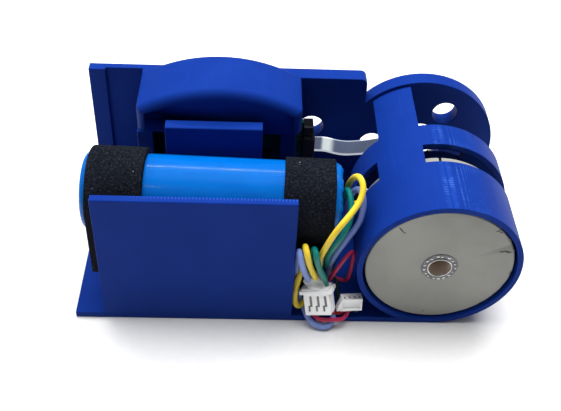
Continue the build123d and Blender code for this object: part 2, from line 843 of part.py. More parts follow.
wire_routes = {
    "phase_wire_yellow": (
        phase_wire_radius,
        [
            (guide_x, guide_depth, 28.2),
            (-20.6, guide_depth, 28.2),
            (-23.5, 22.8, 31.0),
            (-23.3, 19.4, 37.4),
            (-21.6, 14.4, 40.6),
            (-22.2, 8.8, 39.6),
            (-25.0, 2.8, 37.4),
            (-28.4, 0.4, 33.4),
            (-30.8, 1.2, 28.4),
            (-32.0, 4.0, 22.6),
            (-31.6, 6.6, 16.2),
            (-31.2, 7.9, 10.2),
            (-32.4, 6.5, 5.4),
            (-35.8, 5.4, 4.6),
            (-38.6, 4.7, 8.8),
            (-38.5, 5.3, 15.6),
            (-37.3, 4.5, 22.2),
            (-36.7, 2.8, 26.4),
            (-36.4, 2.1, 28.8),
            (-36.1, 0.4, 30.9),
            (-35.9, -1.9, 30.8),
            (-35.7, -3.2, 28.8),
            (-35.3, -2.8, 25.6),
            (-34.7, -1.2, 21.6),
            (-33.4, 2.2, 18.2),
            phase_entry(0, phase_entry_run),
            phase_entry(0, 0),
        ],
    ),
    "phase_wire_teal": (
        phase_wire_radius,
        [
            (guide_x, guide_depth, 25.9),
            (-20.6, guide_depth, 25.9),
            (-23.5, 22.4, 27.6),
            (-23.5, 18.2, 31.2),
            (-23.4, 12.4, 33.0),
            (-23.8, 6.6, 32.8),
            (-25.8, 2.0, 30.8),
            (-28.4, 1.4, 26.4),
            (-29.4, 3.6, 21.2),
            (-28.8, 6.4, 16.0),
            (-28.4, 8.5, 10.8),
            (-29.6, 9.2, 6.0),
            (-33.2, 9.2, 4.6),
            (-36.2, 8.9, 7.8),
            (-36.4, 8.2, 13.4),
            (-35.2, 6.2, 19.2),
            (-34.4, 3.5, 24.4),
            (-33.9, 2.2, 28.1),
            (-33.6, 0.5, 30.2),
            (-33.3, -1.9, 30.3),
            (-33.0, -3.2, 28.3),
            (-32.6, -2.8, 25.2),
            (-31.9, -1.2, 21.4),
            (-30.8, 2.2, 18.2),
            phase_entry(1, phase_entry_run),
            phase_entry(1, 0),
        ],
    ),
    "phase_wire_violet": (
        phase_wire_radius,
        [
            (guide_x, guide_depth, 23.6),
            (-20.6, guide_depth, 23.6),
            (-23.6, 21.6, 24.2),
            (-23.6, 16.6, 26.6),
            (-23.5, 11.4, 29.6),
            (-23.6, 6.2, 28.4),
            (-25.8, 2.8, 24.4),
            (-26.8, 4.0, 19.2),
            (-25.8, 6.6, 13.8),
            (-25.3, 7.0, 8.4),
            (-26.7, 4.8, 4.4),
            (-27.9, 1.6, 3.2),
            (-29.0, -1.3, 2.9),
            (-31.0, -2.9, 1.3),
            (-33.8, -3.1, 1.1),
            (-36.6, -2.6, 2.6),
            (-38.2, -1.8, 6.8),
            (-38.3, -0.4, 12.2),
            (-38.4, 1.5, 17.4),
            (-38.4, 2.3, 22.0),
            (-38.4, 2.0, 25.4),
            (-38.5, 1.3, 28.0),
            (-38.4, 0.2, 29.8),
            (-38.2, -1.9, 29.6),
            (-38.0, -3.2, 27.6),
            (-37.7, -2.8, 24.4),
            (-37.0, -1.2, 20.8),
            (-35.9, 2.2, 17.9),
            phase_entry(-1, phase_entry_run),
            phase_entry(-1, 0),
        ],
    ),
    "signal_wire_red": (
        signal_wire_radius,
        [
            (guide_x, guide_depth, 21.6),
            (-20.2, guide_depth, 21.6),
            (-23.0, 22.4, 20.6),
            (-23.9, 17.0, 19.2),
            (-23.8, 11.6, 17.4),
            (-25.6, 9.8, 13.6),
            (-26.4, 9.0, 8.6),
            (-27.8, 7.2, 4.0),
            (-31.0, 5.4, 2.7),
            (-34.2, 3.8, 2.6),
            (-34.9, 0.9, 2.6),
            (-33.0, -1.4, 2.9),
            (-30.2, -2.6, 4.0),
            (-27.7, -2.2, 4.7),
            signal_entry(-2, 1.6),
            signal_entry(-2, 0),
        ],
    ),
    "signal_wire_crimson": (
        signal_wire_radius,
        [
            (guide_x, guide_depth, 20.2),
            (-20.0, guide_depth, 20.2),
            (-22.9, 22.2, 19.0),
            (-23.6, 17.0, 17.4),
            (-23.5, 11.4, 15.6),
            (-23.8, 8.4, 11.6),
            (-24.3, 9.4, 7.4),
            (-26.6, 9.0, 4.0),
            (-30.4, 7.2, 2.7),
            (-34.4, 5.6, 2.6),
            (-36.5, 2.8, 2.6),
            (-36.1, -0.6, 2.9),
            (-33.2, -3.0, 3.4),
            (-29.6, -3.7, 3.7),
            (-26.4, -3.2, 3.3),
            (-24.5, -1.5, 2.9),
            signal_entry(-1, 0.9),
            signal_entry(-1, 0),
        ],
    ),
    "signal_wire_black": (
        signal_wire_radius,
        [
            (guide_x, guide_depth, 18.8),
            (-19.8, guide_depth, 18.8),
            (-22.6, 22.0, 17.6),
            (-23.2, 17.0, 15.8),
            (-22.8, 12.0, 13.4),
            (-21.9, 8.2, 10.0),
            (-21.2, 6.2, 6.2),
            (-20.6, 3.4, 3.1),
            (-20.4, 0.6, 2.75),
            (-20.4, -2.2, 2.8),
            (-21.16, -3.2, 2.8),
            (-22.24, -3.2, 2.8),
            (-23.0, -2.2, 2.9),
            signal_entry(0, 1.1),
            signal_entry(0, 0),
        ],
    ),
}


def write(name, shape):
    export_step(shape, f"parts/{name}.step")


os.makedirs("parts", exist_ok=True)
write("tray", tray())
write("back_wall", back_wall())
write("motor_housing", motor_housing())
write("housing_lid", housing_lid())
write("housing_frame", housing_frame())
write("drive_board", drive_board())
write("drive_controller", drive_controller())
write("drive_transistors", drive_transistors())
write("drive_capacitors", drive_capacitors())
write("ribbon_socket", ribbon_socket())
write("encoder_ribbon", encoder_ribbon())
write("encoder_board", encoder_board())
write("encoder_posts", encoder_posts())
write("encoder_screws", encoder_screws())
write("encoder_chip", encoder_chip())
write("encoder_socket", encoder_socket())
write("cell_body", cell_body())
write("cell_cap", cell_cap())
write("cell_insulator", cell_insulator())
write("foam_wrap_left", foam_wrap(foam_left_span(), foam_left_thickness, foam_tail_drop))
write("foam_pad_left", foam_pad(foam_left_span(), foam_left_thickness))
write("foam_wrap_right", foam_wrap(foam_right_span(), foam_right_thickness, 0))
write("foam_pad_right", foam_pad(foam_right_span(), foam_right_thickness))
write("rotor_bell", rotor_bell())
write("rotor_magnets", rotor_magnets())
write("stator_core", stator_core())
write("stator_coils", stator_coils())
write("stator_mount", stator_mount())
write("mount_screws", mount_screws())
for side, start in (("front", front_bearing_depth), ("rear", rear_bearing_depth())):
    outer_race, inner_race, balls = bearing_pieces(start)
    write(f"bearing_{side}_outer", outer_race)
    write(f"bearing_{side}_inner", inner_race)
    write(f"bearing_{side}_balls", balls)
write("output_shaft", output_shaft())
write("lock_ring", lock_ring())
write("encoder_magnet", encoder_magnet())
write("wire_guide", wire_guide())
write("phase_plug", phase_plug())
write("signal_plug", signal_plug())
for name, (radius, points) in wire_routes.items():
    write(name, wire(name, radius, points))
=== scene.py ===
import math
import random
import bmesh
import bpy
from mathutils import Matrix, Vector


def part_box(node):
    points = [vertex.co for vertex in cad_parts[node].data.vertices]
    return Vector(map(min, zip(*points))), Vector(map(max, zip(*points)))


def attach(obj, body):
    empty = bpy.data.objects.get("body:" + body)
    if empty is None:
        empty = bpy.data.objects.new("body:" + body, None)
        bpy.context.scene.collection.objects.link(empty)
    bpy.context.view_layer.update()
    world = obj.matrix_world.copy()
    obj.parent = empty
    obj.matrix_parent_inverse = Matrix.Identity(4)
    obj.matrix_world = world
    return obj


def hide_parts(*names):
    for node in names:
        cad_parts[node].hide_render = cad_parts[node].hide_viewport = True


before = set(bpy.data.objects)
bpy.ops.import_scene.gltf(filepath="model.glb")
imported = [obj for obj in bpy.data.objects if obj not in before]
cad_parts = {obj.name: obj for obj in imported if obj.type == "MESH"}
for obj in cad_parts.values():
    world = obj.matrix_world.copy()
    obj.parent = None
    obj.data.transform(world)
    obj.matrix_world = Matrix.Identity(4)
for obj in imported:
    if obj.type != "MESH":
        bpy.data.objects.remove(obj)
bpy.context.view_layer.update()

mm = 0.001
cupLow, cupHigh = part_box("motor_housing")
axisX = (cupLow[0] + cupHigh[0]) / 2
axisZ = (cupLow[2] + cupHigh[2]) / 2
frontY = cupLow[1]
motorAxis = Vector((axisX, frontY, axisZ))
random.seed(7)
print("frame loaded, motor axis at", [round(v, 4) for v in motorAxis])


def spot(across, depth, height):
    # across is from the motor axis, depth from the cup's front face, all in millimetres
    return Vector((axisX + across * mm, frontY + depth * mm, height * mm))


# materials
class Value:
    # a socket that can be used in arithmetic
    def __init__(self, finish, socket):
        self.finish = finish
        self.socket = socket

    def work(self, operation, *values):
        inputs = {number: value for number, value in enumerate(values)}
        return self.finish.add("Math", {"operation": operation}, inputs)

    def __add__(self, other):
        return self.work("ADD", self, other)

    def __radd__(self, other):
        return self.work("ADD", other, self)

    def __sub__(self, other):
        return self.work("SUBTRACT", self, other)

    def __rsub__(self, other):
        return self.work("SUBTRACT", other, self)

    def __mul__(self, other):
        return self.work("MULTIPLY", self, other)

    def __rmul__(self, other):
        return self.work("MULTIPLY", other, self)

    def fraction(self):
        return self.work("FRACT", self)

    def wave(self):
        return self.work("SINE", self)

    def size(self):
        return self.work("ABSOLUTE", self)

    def root(self):
        return self.work("SQRT", self)

    def repeats(self, pitch):
        # 0 in the middle of each repeat, 0.5 at its ends
        return ((self * (1 / pitch)).fraction() - 0.5).size()

    def between(self, low, high):
        # 0 below low, 1 above high, smooth in between
        settings = {"interpolation_type": "SMOOTHSTEP"}
        inputs = {"Value": self, "From Min": low, "From Max": high, "To Min": 0.0, "To Max": 1.0}
        return self.finish.add("MapRange", settings, inputs)


class Finish:
    # builds one material, whose patterns all lie on Object coordinates
    def __init__(self, name):
        self.material = bpy.data.materials.new(name)
        self.material.use_nodes = True
        self.tree = self.material.node_tree
        self.tree.nodes.clear()

    def add(self, kind, settings=None, inputs=None, output=0):
        node = self.tree.nodes.new("ShaderNode" + kind)
        for key, value in (settings or {}).items():
            setattr(node, key, value)
        for key, value in (inputs or {}).items():
            socket = node.inputs[key]
            if isinstance(value, Value):
                self.tree.links.new(value.socket, socket)
            elif socket.type == "RGBA" and len(value) == 3:
                socket.default_value = (*value, 1.0)
            else:
                socket.default_value = value
        return Value(self, node.outputs[output]) if node.outputs else None

    def place(self):
        return self.add("TexCoord", output="Object")

    def axes(self):
        split = self.add("SeparateXYZ", {}, {"Vector": self.place()})
        return [Value(self, socket) for socket in split.socket.node.outputs]

    def fromAxis(self, x, z):
        # distance from the motor's axis
        across, up = x - motorAxis.x, z - motorAxis.z
        return (across * across + up * up).root()

    def noise(self, scale, detail=3.0, roughness=0.55, vector=None):
        inputs = {"Vector": vector or self.place(), "Scale": scale, "Detail": detail, "Roughness": roughness}
        return self.add("TexNoise", {}, inputs)

    def cells(self, scale):
        inputs = {"Vector": self.place(), "Scale": scale}
        return self.add("TexVoronoi", {"feature": "F1"}, inputs, output="Distance")

    def stretched(self, x, y, z):
        return self.add("Mapping", {}, {"Vector": self.place(), "Scale": (x, y, z)})

    def blend(self, amount, first, second):
        # the mix node's colour sockets go by number
        return self.add("Mix", {"data_type": "RGBA"}, {0: amount, 6: first, 7: second}, output=2)

    def bump(self, height, strength, distance, under=None):
        inputs = {"Height": height, "Strength": strength, "Distance": distance}
        if under is not None:
            inputs["Normal"] = under
        return self.add("Bump", {}, inputs)

    def done(self, **values):
        inputs = {key.replace("_", " "): value for key, value in values.items()}
        shader = self.add("BsdfPrincipled", {}, inputs)
        self.add("OutputMaterial", {}, {"Surface": shader})
        return self.material


def shade(tone, share):
    return tuple(min(1.0, channel * share) for channel in tone)


printBlue = {
    "deep": (0.0038, 0.0235, 0.187),
    "light": (0.0046, 0.0272, 0.207),
    "thread": (0.008, 0.06, 0.42),
    "layer": 0.0002,  # height of one layer, and how far its step stands out
    "step": 0.00006,
    "crown": (0.0385, 0.0425),  # height over which the painted highlights on the cup's top layer lines come in
    "crownLeft": (-4.0, 1.0),  # from the motor's axis, in millimetres
    "crownRight": (8.0, 12.0),
    "cupBack": (0.006, 0.005),  # in front of the cup's back, so the flange has no lines
    # painted highlights: the line and bead tones are lighter blues painted on the cup's top ridges where the
    # light catches them
    "line": (0.02, 0.11, 0.6),
    "bead": (0.14, 0.3, 0.8),
    "beadGlintPitch": 0.0009,
}


def printBase(finish, z, cloudScale):
    # layers' steps, grain and the cloudy blue of every printed face
    layers = (z * (1 / printBlue["layer"])).fraction()
    grain = finish.noise(2600.0, 3.0, 0.7)
    cloud = finish.noise(cloudScale, 4.0).between(0.25, 0.8)
    return layers, grain, finish.blend(cloud, printBlue["deep"], printBlue["light"])


def printDone(finish, tone, roughness, normal):
    return finish.done(Base_Color=tone, Roughness=roughness, Normal=normal, IOR=1.47, Specular_IOR_Level=0.05)


def printedPlastic():
    # layers lie flat, so their steps show as lines where a surface leans; on the cup's top the layer ridges
    # and beads are painted lighter, as painted highlights
    finish = Finish("printedBlue")
    x, y, z = finish.axes()
    layers, grain, tone = printBase(finish, z, 90.0)
    threads = finish.noise(1.0, 2.0, 0.6, finish.stretched(2600.0, 90.0, 5200.0))
    tone = finish.blend(threads.between(0.55, 0.85) * 0.35, tone, printBlue["thread"])
    across = (x - motorAxis.x) * 1000.0
    onCup = 1 - y.between(*(cupHigh[1] - gap for gap in printBlue["cupBack"]))
    sides = across.between(*printBlue["crownLeft"]) * (1 - across.between(*printBlue["crownRight"]))
    crown = z.between(*printBlue["crown"]) * sides * onCup
    # painted highlight along the layer ridges on the cup's top, with painted glints dotted along them
    ridgeHighlights = layers.between(0.55, 0.9) * (1 - layers.between(0.93, 1.0)) * crown
    beadGlints = y.repeats(printBlue["beadGlintPitch"]).between(0.34, 0.16) * finish.noise(260.0).between(0.42, 0.6)
    tone = finish.blend(ridgeHighlights * 0.11, tone, printBlue["line"])
    tone = finish.blend(ridgeHighlights * beadGlints * 0.22, tone, printBlue["bead"])
    zits = finish.cells(620.0).between(0.16, 0.05) * finish.noise(30.0).between(0.5, 0.62)
    stepped = finish.bump(layers, 0.45, printBlue["step"])
    rough = finish.bump(grain * 0.6 + zits * 1.4 + threads * 0.8, 0.35, 0.00006, stepped)
    return printDone(finish, tone, 0.4 + 0.16 * grain + 0.1 * threads, rough)


plateEdge = {
    "top": (0.0006, 0.0003),  # below the plate's top
    "front": (0.0022, 0.0026),  # behind its front face
    "line": (0.0010, 0.0017),
    "from": (0.012, 0.03),  # right of its left end
    "pitch": 0.00088,
    "tone": (0.03, 0.12, 0.55),
}


def plateEdgePlastic():
    # the front plate's top edge shows the nozzle's zigzag as a row of dashes
    finish = Finish("printedBlueEdge")
    x, y, z = finish.axes()
    layers, grain, tone = printBase(finish, z, 70.0)
    low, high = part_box("tray")
    nearTop = z.between(*(high[2] - gap for gap in plateEdge["top"]))
    nearFront = 1 - y.between(*(low[1] + gap for gap in plateEdge["front"]))
    backLine = y.between(*(low[1] + gap for gap in plateEdge["line"]))
    backLine *= x.between(*(low[0] + gap for gap in plateEdge["from"]))
    dashes = x.repeats(plateEdge["pitch"]).between(0.26, 0.12) * nearTop * nearFront * backLine
    tone = finish.blend(dashes * 0.4, tone, plateEdge["tone"])
    stepped = finish.bump(layers, 0.35, printBlue["step"])
    rough = finish.bump(grain * 0.6 + dashes * 1.5, 0.4, 0.00006, stepped)
    return printDone(finish, tone, 0.42 + 0.16 * grain, rough)


def sleeveBlue():
    finish = Finish("cellSleeve")
    wrinkle = finish.noise(1.0, 3.0, 0.55, finish.stretched(60.0, 420.0, 420.0))
    cloud = finish.noise(120.0, 2.0)
    scuff = finish.noise(1500.0, 4.0, 0.65).between(0.62, 0.8)
    tone = finish.blend(cloud.between(0.2, 0.8), (0.0, 0.088, 0.37), (0.0, 0.108, 0.43))
    tone = finish.blend(scuff * 0.15, tone, (0.12, 0.3, 0.7))
    return finish.done(
        Base_Color=tone,
        Roughness=0.2 + 0.12 * scuff + 0.06 * cloud,
        Normal=finish.bump(wrinkle, 0.12, 0.0004),
        IOR=1.5,
        Specular_IOR_Level=0.12,
        Coat_Weight=0.2,
        Coat_Roughness=0.05,
    )


def charcoalFoam():
    finish = Finish("charcoalFoam")
    pores = finish.cells(3200.0)
    fine = finish.noise(5200.0, 3.0, 0.75)
    cloud = finish.noise(140.0, 3.0)
    specks = finish.noise(950.0, 2.0, 0.6).between(0.73, 0.78)
    tone = finish.blend(pores.between(0.1, 0.7), (0.0016, 0.0022, 0.0038), (0.0062, 0.0078, 0.0125))
    tone = finish.blend(cloud.between(0.3, 0.8) * 0.4, tone, (0.0085, 0.0105, 0.016))
    mottle = finish.noise(1700.0, 2.0, 0.7)
    tone = finish.blend(mottle.between(0.5, 0.72) * 0.75, tone, (0.021, 0.0235, 0.031))
    tone = finish.blend(mottle.between(0.48, 0.3) * 0.6, tone, (0.001, 0.0015, 0.0028))
    tone = finish.blend(specks * 0.8, tone, (0.16, 0.17, 0.19))
    height = pores * 0.9 + fine * 0.6
    return finish.done(
        Base_Color=tone,
        Roughness=0.86 + 0.1 * fine,
        Normal=finish.bump(height, 0.6, 0.00012),
        Specular_IOR_Level=0.08,
    )


def turnedMetal(name, tone, metallic, roughness, rings=True, lines=9000.0):
    # rings follow the motor axis
    finish = Finish(name)
    x, y, z = finish.axes()
    grooves = ((finish.fromAxis(x, z) if rings else y) * lines).wave()
    fine = finish.noise(2400.0, 3.0, 0.6)
    cloud = finish.noise(60.0, 3.0)
    colour = finish.blend(cloud.between(0.25, 0.75), shade(tone, 0.88), shade(tone, 1.12))
    colour = finish.blend(fine.between(0.6, 0.85) * 0.25, colour, shade(tone, 0.6))
    return finish.done(
        Base_Color=colour,
        Metallic=metallic,
        Roughness=roughness + 0.08 * fine + 0.03 * grooves,
        Normal=finish.bump(grooves * 0.4 + fine, 0.12, 0.00003),
    )


def plainMetal(name, tone, roughness):
    finish = Finish(name)
    fine = finish.noise(3000.0, 4.0, 0.6)
    cloud = finish.noise(300.0, 3.0)
    colour = finish.blend(cloud.between(0.3, 0.75), shade(tone, 0.75), tone)
    return finish.done(
        Base_Color=colour,
        Metallic=1.0,
        Roughness=roughness + 0.15 * fine,
        Normal=finish.bump(fine, 0.15, 0.00003),
    )


def laminations():
    finish = Finish("laminations")
    y = finish.axes()[1]
    sheets = y.repeats(0.00035).between(0.42, 0.5)  # thickness of one sheet
    fine = finish.noise(2500.0, 3.0)
    colour = finish.blend(sheets, (0.22, 0.22, 0.23), (0.03, 0.03, 0.035))
    return finish.done(
        Base_Color=colour,
        Metallic=0.85,
        Roughness=0.4 + 0.2 * fine,
        Normal=finish.bump((1 - sheets) + fine * 0.2, 0.5, 0.00005),
    )


def windings():
    finish = Finish("copperWindings")
    x, _, z = finish.axes()
    turns = finish.fromAxis(x, z).repeats(0.00034)  # pitch of the wire's turns
    fine = finish.noise(1800.0, 3.0)
    colour = finish.blend(turns.between(0.25, 0.5), (0.62, 0.2, 0.07), (0.16, 0.04, 0.015))
    colour = finish.blend(fine.between(0.5, 0.8) * 0.4, colour, (0.75, 0.33, 0.14))
    return finish.done(
        Base_Color=colour,
        Metallic=0.9,
        Roughness=0.28 + 0.2 * fine,
        Normal=finish.bump(1 - turns, 0.9, 0.0001),
        Coat_Weight=0.5,
        Coat_Roughness=0.2,
    )


def laminate(name, tone):
    finish = Finish(name)
    weave = finish.cells(900.0)
    x, _, z = finish.axes()
    tracks = x.repeats(1 / 620.0).between(0.2, 0.16) * finish.noise(140.0, 2.0).between(0.5, 0.53)
    rows = z.repeats(1 / 560.0).between(0.2, 0.16) * finish.noise(170.0, 2.0).between(0.53, 0.56)
    copper = (tracks + rows).between(0.2, 0.9)
    colour = finish.blend(copper, tone, tuple(0.01 + 1.9 * channel for channel in tone))
    return finish.done(
        Base_Color=colour,
        Roughness=0.34 + 0.12 * weave,
        Normal=finish.bump(copper + weave * 0.2, 0.3, 0.00004),
        Coat_Weight=0.3,
    )


def mouldedPlastic(name, tone, roughness, lighter=1.35):
    finish = Finish(name)
    fine = finish.noise(2200.0, 4.0, 0.6)
    cloud = finish.noise(260.0, 3.0)
    colour = finish.blend(cloud.between(0.3, 0.75), tone, shade(tone, lighter))
    return finish.done(
        Base_Color=colour,
        Roughness=roughness + 0.14 * fine,
        Normal=finish.bump(fine, 0.2, 0.00005),
    )


def wireSkin(name, tone, roughness):
    # soft silicone, a little dusty
    finish = Finish(name)
    fine = finish.noise(1800.0, 4.0, 0.6)
    cloud = finish.noise(200.0, 3.0)
    dusty = fine.between(0.6, 0.85)
    colour = finish.blend(cloud.between(0.25, 0.75), shade(tone, 0.86), tone)
    colour = finish.blend(dusty * 0.1, colour, tuple(0.35 + 0.4 * channel for channel in tone))
    return finish.done(
        Base_Color=colour,
        Roughness=roughness + 0.2 * fine,
        Normal=finish.bump(fine, 0.18, 0.00006),
        Specular_IOR_Level=0.45,
    )


# the painted highlight on the cable's bend and lower edge lies between these shares and heights
flatCable = {
    "lane": 0.0005,  # pitch of the strip's conductors
    "paintedHighlightStart": (0.07, 0.12),  # shares of the cable's length
    "paintedHighlightEnd": (0.17, 0.25),
    "hem": (0.0009, 0.0005),  # above the lower edge
}


def flatCableSilver():
    # silvery strip with a painted highlight across its bend and a pale painted highlight along its lower edge
    finish = Finish("flatCableSilver")
    x, _, z = finish.axes()
    low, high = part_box("encoder_ribbon")
    lanes = z.repeats(flatCable["lane"]).between(0.22, 0.32)
    fine = finish.noise(900.0, 3.0)
    along = (x - low[0]) * (1 / (high[0] - low[0]))
    bendHighlight = along.between(*flatCable["paintedHighlightStart"]) * (1 - along.between(*flatCable["paintedHighlightEnd"]))
    hem = z.between(*(low[2] + gap for gap in flatCable["hem"]))
    colour = finish.blend(lanes, (0.62, 0.67, 0.8), (0.5, 0.55, 0.68))
    colour = finish.blend(fine.between(0.5, 0.75) * 0.3, colour, (0.75, 0.8, 0.86))
    # the bend and the lower edge are painted near white, as painted highlights
    colour = finish.blend(bendHighlight * 0.85, colour, (0.93, 0.96, 0.95))
    colour = finish.blend(hem * 0.9, colour, (0.98, 0.99, 1.0))
    # painted glow on the bend and the lower edge, standing in for their highlights
    paintedGlow = finish.blend(bendHighlight, (0.05, 0.066, 0.1), (0.6, 0.66, 0.64))
    paintedGlow = finish.blend(hem, paintedGlow, (0.42, 0.45, 0.48))
    return finish.done(
        Base_Color=colour,
        Emission_Color=paintedGlow,
        Emission_Strength=1.0,
        Metallic=0.15,
        Roughness=0.24 + 0.12 * fine,
        Normal=finish.bump(lanes + fine * 0.3, 0.12, 0.00005),
        Coat_Weight=0.4,
        Coat_Roughness=0.12,
    )


def clearGlue():
    finish = Finish("clearGlue")
    fine = finish.noise(700.0, 3.0)
    return finish.done(
        Base_Color=finish.blend(fine.between(0.3, 0.8), (0.78, 0.8, 0.82), (0.92, 0.93, 0.93)),
        Roughness=0.22 + 0.2 * fine,
        Normal=finish.bump(fine, 0.35, 0.0002),
        Transmission_Weight=0.25,
        IOR=1.42,
    )


def floorPaper():
    finish = Finish("palePaper")
    fine = finish.noise(400.0, 3.0)
    colour = finish.blend(fine.between(0.3, 0.7), (0.77, 0.77, 0.77), (0.79, 0.79, 0.79))
    return finish.done(Base_Color=colour, Roughness=0.7 + 0.1 * fine)


blue = printedPlastic()
blueEdge = plateEdgePlastic()
foamFinish = charcoalFoam()
steel = plainMetal("machinedSteel", (0.66, 0.66, 0.65), 0.2)
darkSteel = plainMetal("darkSteel", (0.16, 0.16, 0.17), 0.3)
nickel = plainMetal("nickelPlate", (0.66, 0.64, 0.6), 0.2)
brass = plainMetal("brass", (0.78, 0.56, 0.25), 0.26)
aluminium = plainMetal("aluminium", (0.72, 0.72, 0.73), 0.3)
blackPlastic = mouldedPlastic("blackPlastic", (0.006, 0.006, 0.007), 0.38, lighter=1.8)
ivoryPlastic = mouldedPlastic("ivoryNylon", (0.92, 0.925, 0.93), 0.36, lighter=1.05)
# grey for the backs of the plugs' slots, darkened as painted shade
contactShade = mouldedPlastic("contactShade", (0.2, 0.19, 0.185), 0.5)
bellGrey = turnedMetal("bellGrey", (0.25, 0.25, 0.228), 0.1, 0.5)
shaftBronze = turnedMetal("shaftBronze", (0.62, 0.52, 0.44), 0.15, 0.4, rings=False, lines=14000.0)
print("materials ready")


# pieces
def placed(name, data):
    thing = bpy.data.objects.new(name, data)
    bpy.context.scene.collection.objects.link(thing)
    return thing


def addPiece(name, shape, finish, body="chassis", smoothAngle=35.0):
    mesh = bpy.data.meshes.new(name)
    shape.to_mesh(mesh)
    shape.free()
    mesh.shade_smooth()
    mesh.set_sharp_from_angle(angle=math.radians(smoothAngle))
    mesh.materials.append(finish)
    piece = placed(name, mesh)
    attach(piece, body)
    return piece


def roundEdges(piece, width, segments, angle):
    edge = piece.modifiers.new("roundedEdges", "BEVEL")
    edge.width = width
    edge.segments = segments
    edge.limit_method = "ANGLE"
    edge.angle_limit = math.radians(angle)
    edge.use_clamp_overlap = False
    edge.harden_normals = True


def tidyCopy(node):
    # the node's own solid with its triangles joined into flat faces
    shape = bmesh.new()
    shape.from_mesh(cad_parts[node].data)
    bmesh.ops.remove_doubles(shape, verts=shape.verts, dist=1e-6)
    bmesh.ops.dissolve_limit(
        shape,
        angle_limit=math.radians(0.4),
        use_dissolve_boundaries=False,
        verts=shape.verts,
        edges=shape.edges,
    )
    return shape


def softened(node, name, finish, width, body="chassis", angle=30.0):
    piece = addPiece(name, tidyCopy(node), finish, body)
    roundEdges(piece, width, 2, angle)
    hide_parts(node)


def repaint(node, finish):
    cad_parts[node].material_slots[0].material = finish


def cuboid(shape, low, high, bevel=0.0, segments=2):
    # a box between two corners, with rounded edges
    made = bmesh.ops.create_cube(shape, size=1.0)["verts"]
    size = Vector(high) - Vector(low)
    bmesh.ops.scale(shape, vec=size, verts=made)
    bmesh.ops.translate(shape, vec=(Vector(high) + Vector(low)) / 2, verts=made)
    if bevel:
        edges = list({edge for vert in made for edge in vert.link_edges})
        bmesh.ops.bevel(
            shape, geom=edges, offset=bevel, affect="EDGES", segments=segments, profile=0.5, material=-1
        )
    return made


def spun(shape, points, centre, axis, steps):
    # a line through the points, spun all the way round
    line = [shape.verts.new(point) for point in points]
    line += [shape.edges.new(pair) for pair in zip(line, line[1:])]
    bmesh.ops.spin(shape, geom=line, cent=centre, axis=axis, angle=math.tau, steps=steps, use_merge=True)
    bmesh.ops.remove_doubles(shape, verts=shape.verts, dist=1e-7)
    bmesh.ops.recalc_face_normals(shape, faces=shape.faces)


def spunRoundMotor(shape, profile):
    # profile holds radius and depth pairs in millimetres
    points = [motorAxis + Vector((radius * mm, depth * mm, 0.0)) for radius, depth in profile]
    spun(shape, points, motorAxis, (0, 1, 0), 64)


def spunAlongX(shape, profile, steps):
    # profile holds length and radius pairs in millimetres
    points = [Vector((along * mm, radius * mm, 0.0)) for along, radius in profile]
    spun(shape, points, (0, 0, 0), (1, 0, 0), steps)


# printed chassis
chassis = {"edge": 0.00022, "cupEdge": 0.0002, "lidEdge": 0.0003}
softened("tray", "trayPrint", blueEdge, chassis["edge"], angle=50.0)
softened("back_wall", "wallPrint", blue, chassis["edge"], angle=40.0)
softened("motor_housing", "cupPrint", blue, chassis["cupEdge"], angle=40.0)
softened("housing_lid", "lidPrint", blue, chassis["lidEdge"], angle=50.0)
softened("housing_frame", "framePrint", blue, chassis["edge"], angle=50.0)
print("printed chassis dressed")

# motor
bellEdge = 0.00015
softened("rotor_bell", "bellTurned", bellGrey, bellEdge, "rotor", 50.0)
repaint("rotor_magnets", nickel)
repaint("stator_core", laminations())
repaint("stator_coils", windings())
repaint("stator_mount", turnedMetal("mountTurned", (0.6, 0.6, 0.61), 1.0, 0.3))
repaint("mount_screws", darkSteel)
repaint("output_shaft", shaftBronze)
repaint("encoder_magnet", nickel)
for place in ("front", "rear"):
    for race in ("outer", "inner", "balls"):
        repaint(f"bearing_{place}_{race}", steel)


def polarSpot(radius, angle, depth):
    turn = math.radians(angle)
    return motorAxis + Vector((radius * math.cos(turn), depth, radius * math.sin(turn)))


lockRing = {
    "bore": 3.06,
    "rim": 3.42,
    "seat": 5.0,
    "back": 0.9,  # depth of the bell's face
    "teeth": 17,
    "toothCircle": 4.3,
    "toothDepth": 0.7,
}


def addLockRing():
    # thin bright rim round the bore, then a dark seat with a jagged ring of bright teeth
    shape = bmesh.new()
    bore, rim, seat, back = (lockRing[key] for key in ("bore", "rim", "seat", "back"))
    crown = [(bore, 0.5), (bore + 0.06, 0.4), (bore + 0.18, 0.37), (rim - 0.06, 0.42), (rim, 0.6)]
    spunRoundMotor(shape, [(bore, back), *crown, (rim, back), (bore, back)])
    for number in range(lockRing["teeth"]):
        angle = (number + random.uniform(-0.2, 0.2)) * 360.0 / lockRing["teeth"]
        made = bmesh.ops.create_uvsphere(shape, u_segments=8, v_segments=6, radius=1.0)["verts"]
        wide, deep = random.uniform(0.34, 0.62), random.uniform(0.26, 0.46)
        bmesh.ops.scale(shape, vec=(wide * mm, 0.26 * mm, deep * mm), verts=made)
        lean = -math.radians(angle - 90 + random.uniform(-35, 35))
        bmesh.ops.rotate(shape, verts=made, matrix=Matrix.Rotation(lean, 3, "Y"))
        circle = lockRing["toothCircle"] + random.uniform(-0.22, 0.18)
        bmesh.ops.translate(shape, verts=made, vec=polarSpot(circle * mm, angle, lockRing["toothDepth"] * mm))
    piece = addPiece("lockRingBright", shape, steel, "rotor", 50.0)
    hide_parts("lock_ring")
    dark = bmesh.new()
    spunRoundMotor(dark, [(rim, back), (rim, 0.72), (seat - 0.1, 0.74), (seat, back), (rim, back)])
    addPiece("lockRingSeat", dark, darkSteel, "rotor", 50.0)


addLockRing()

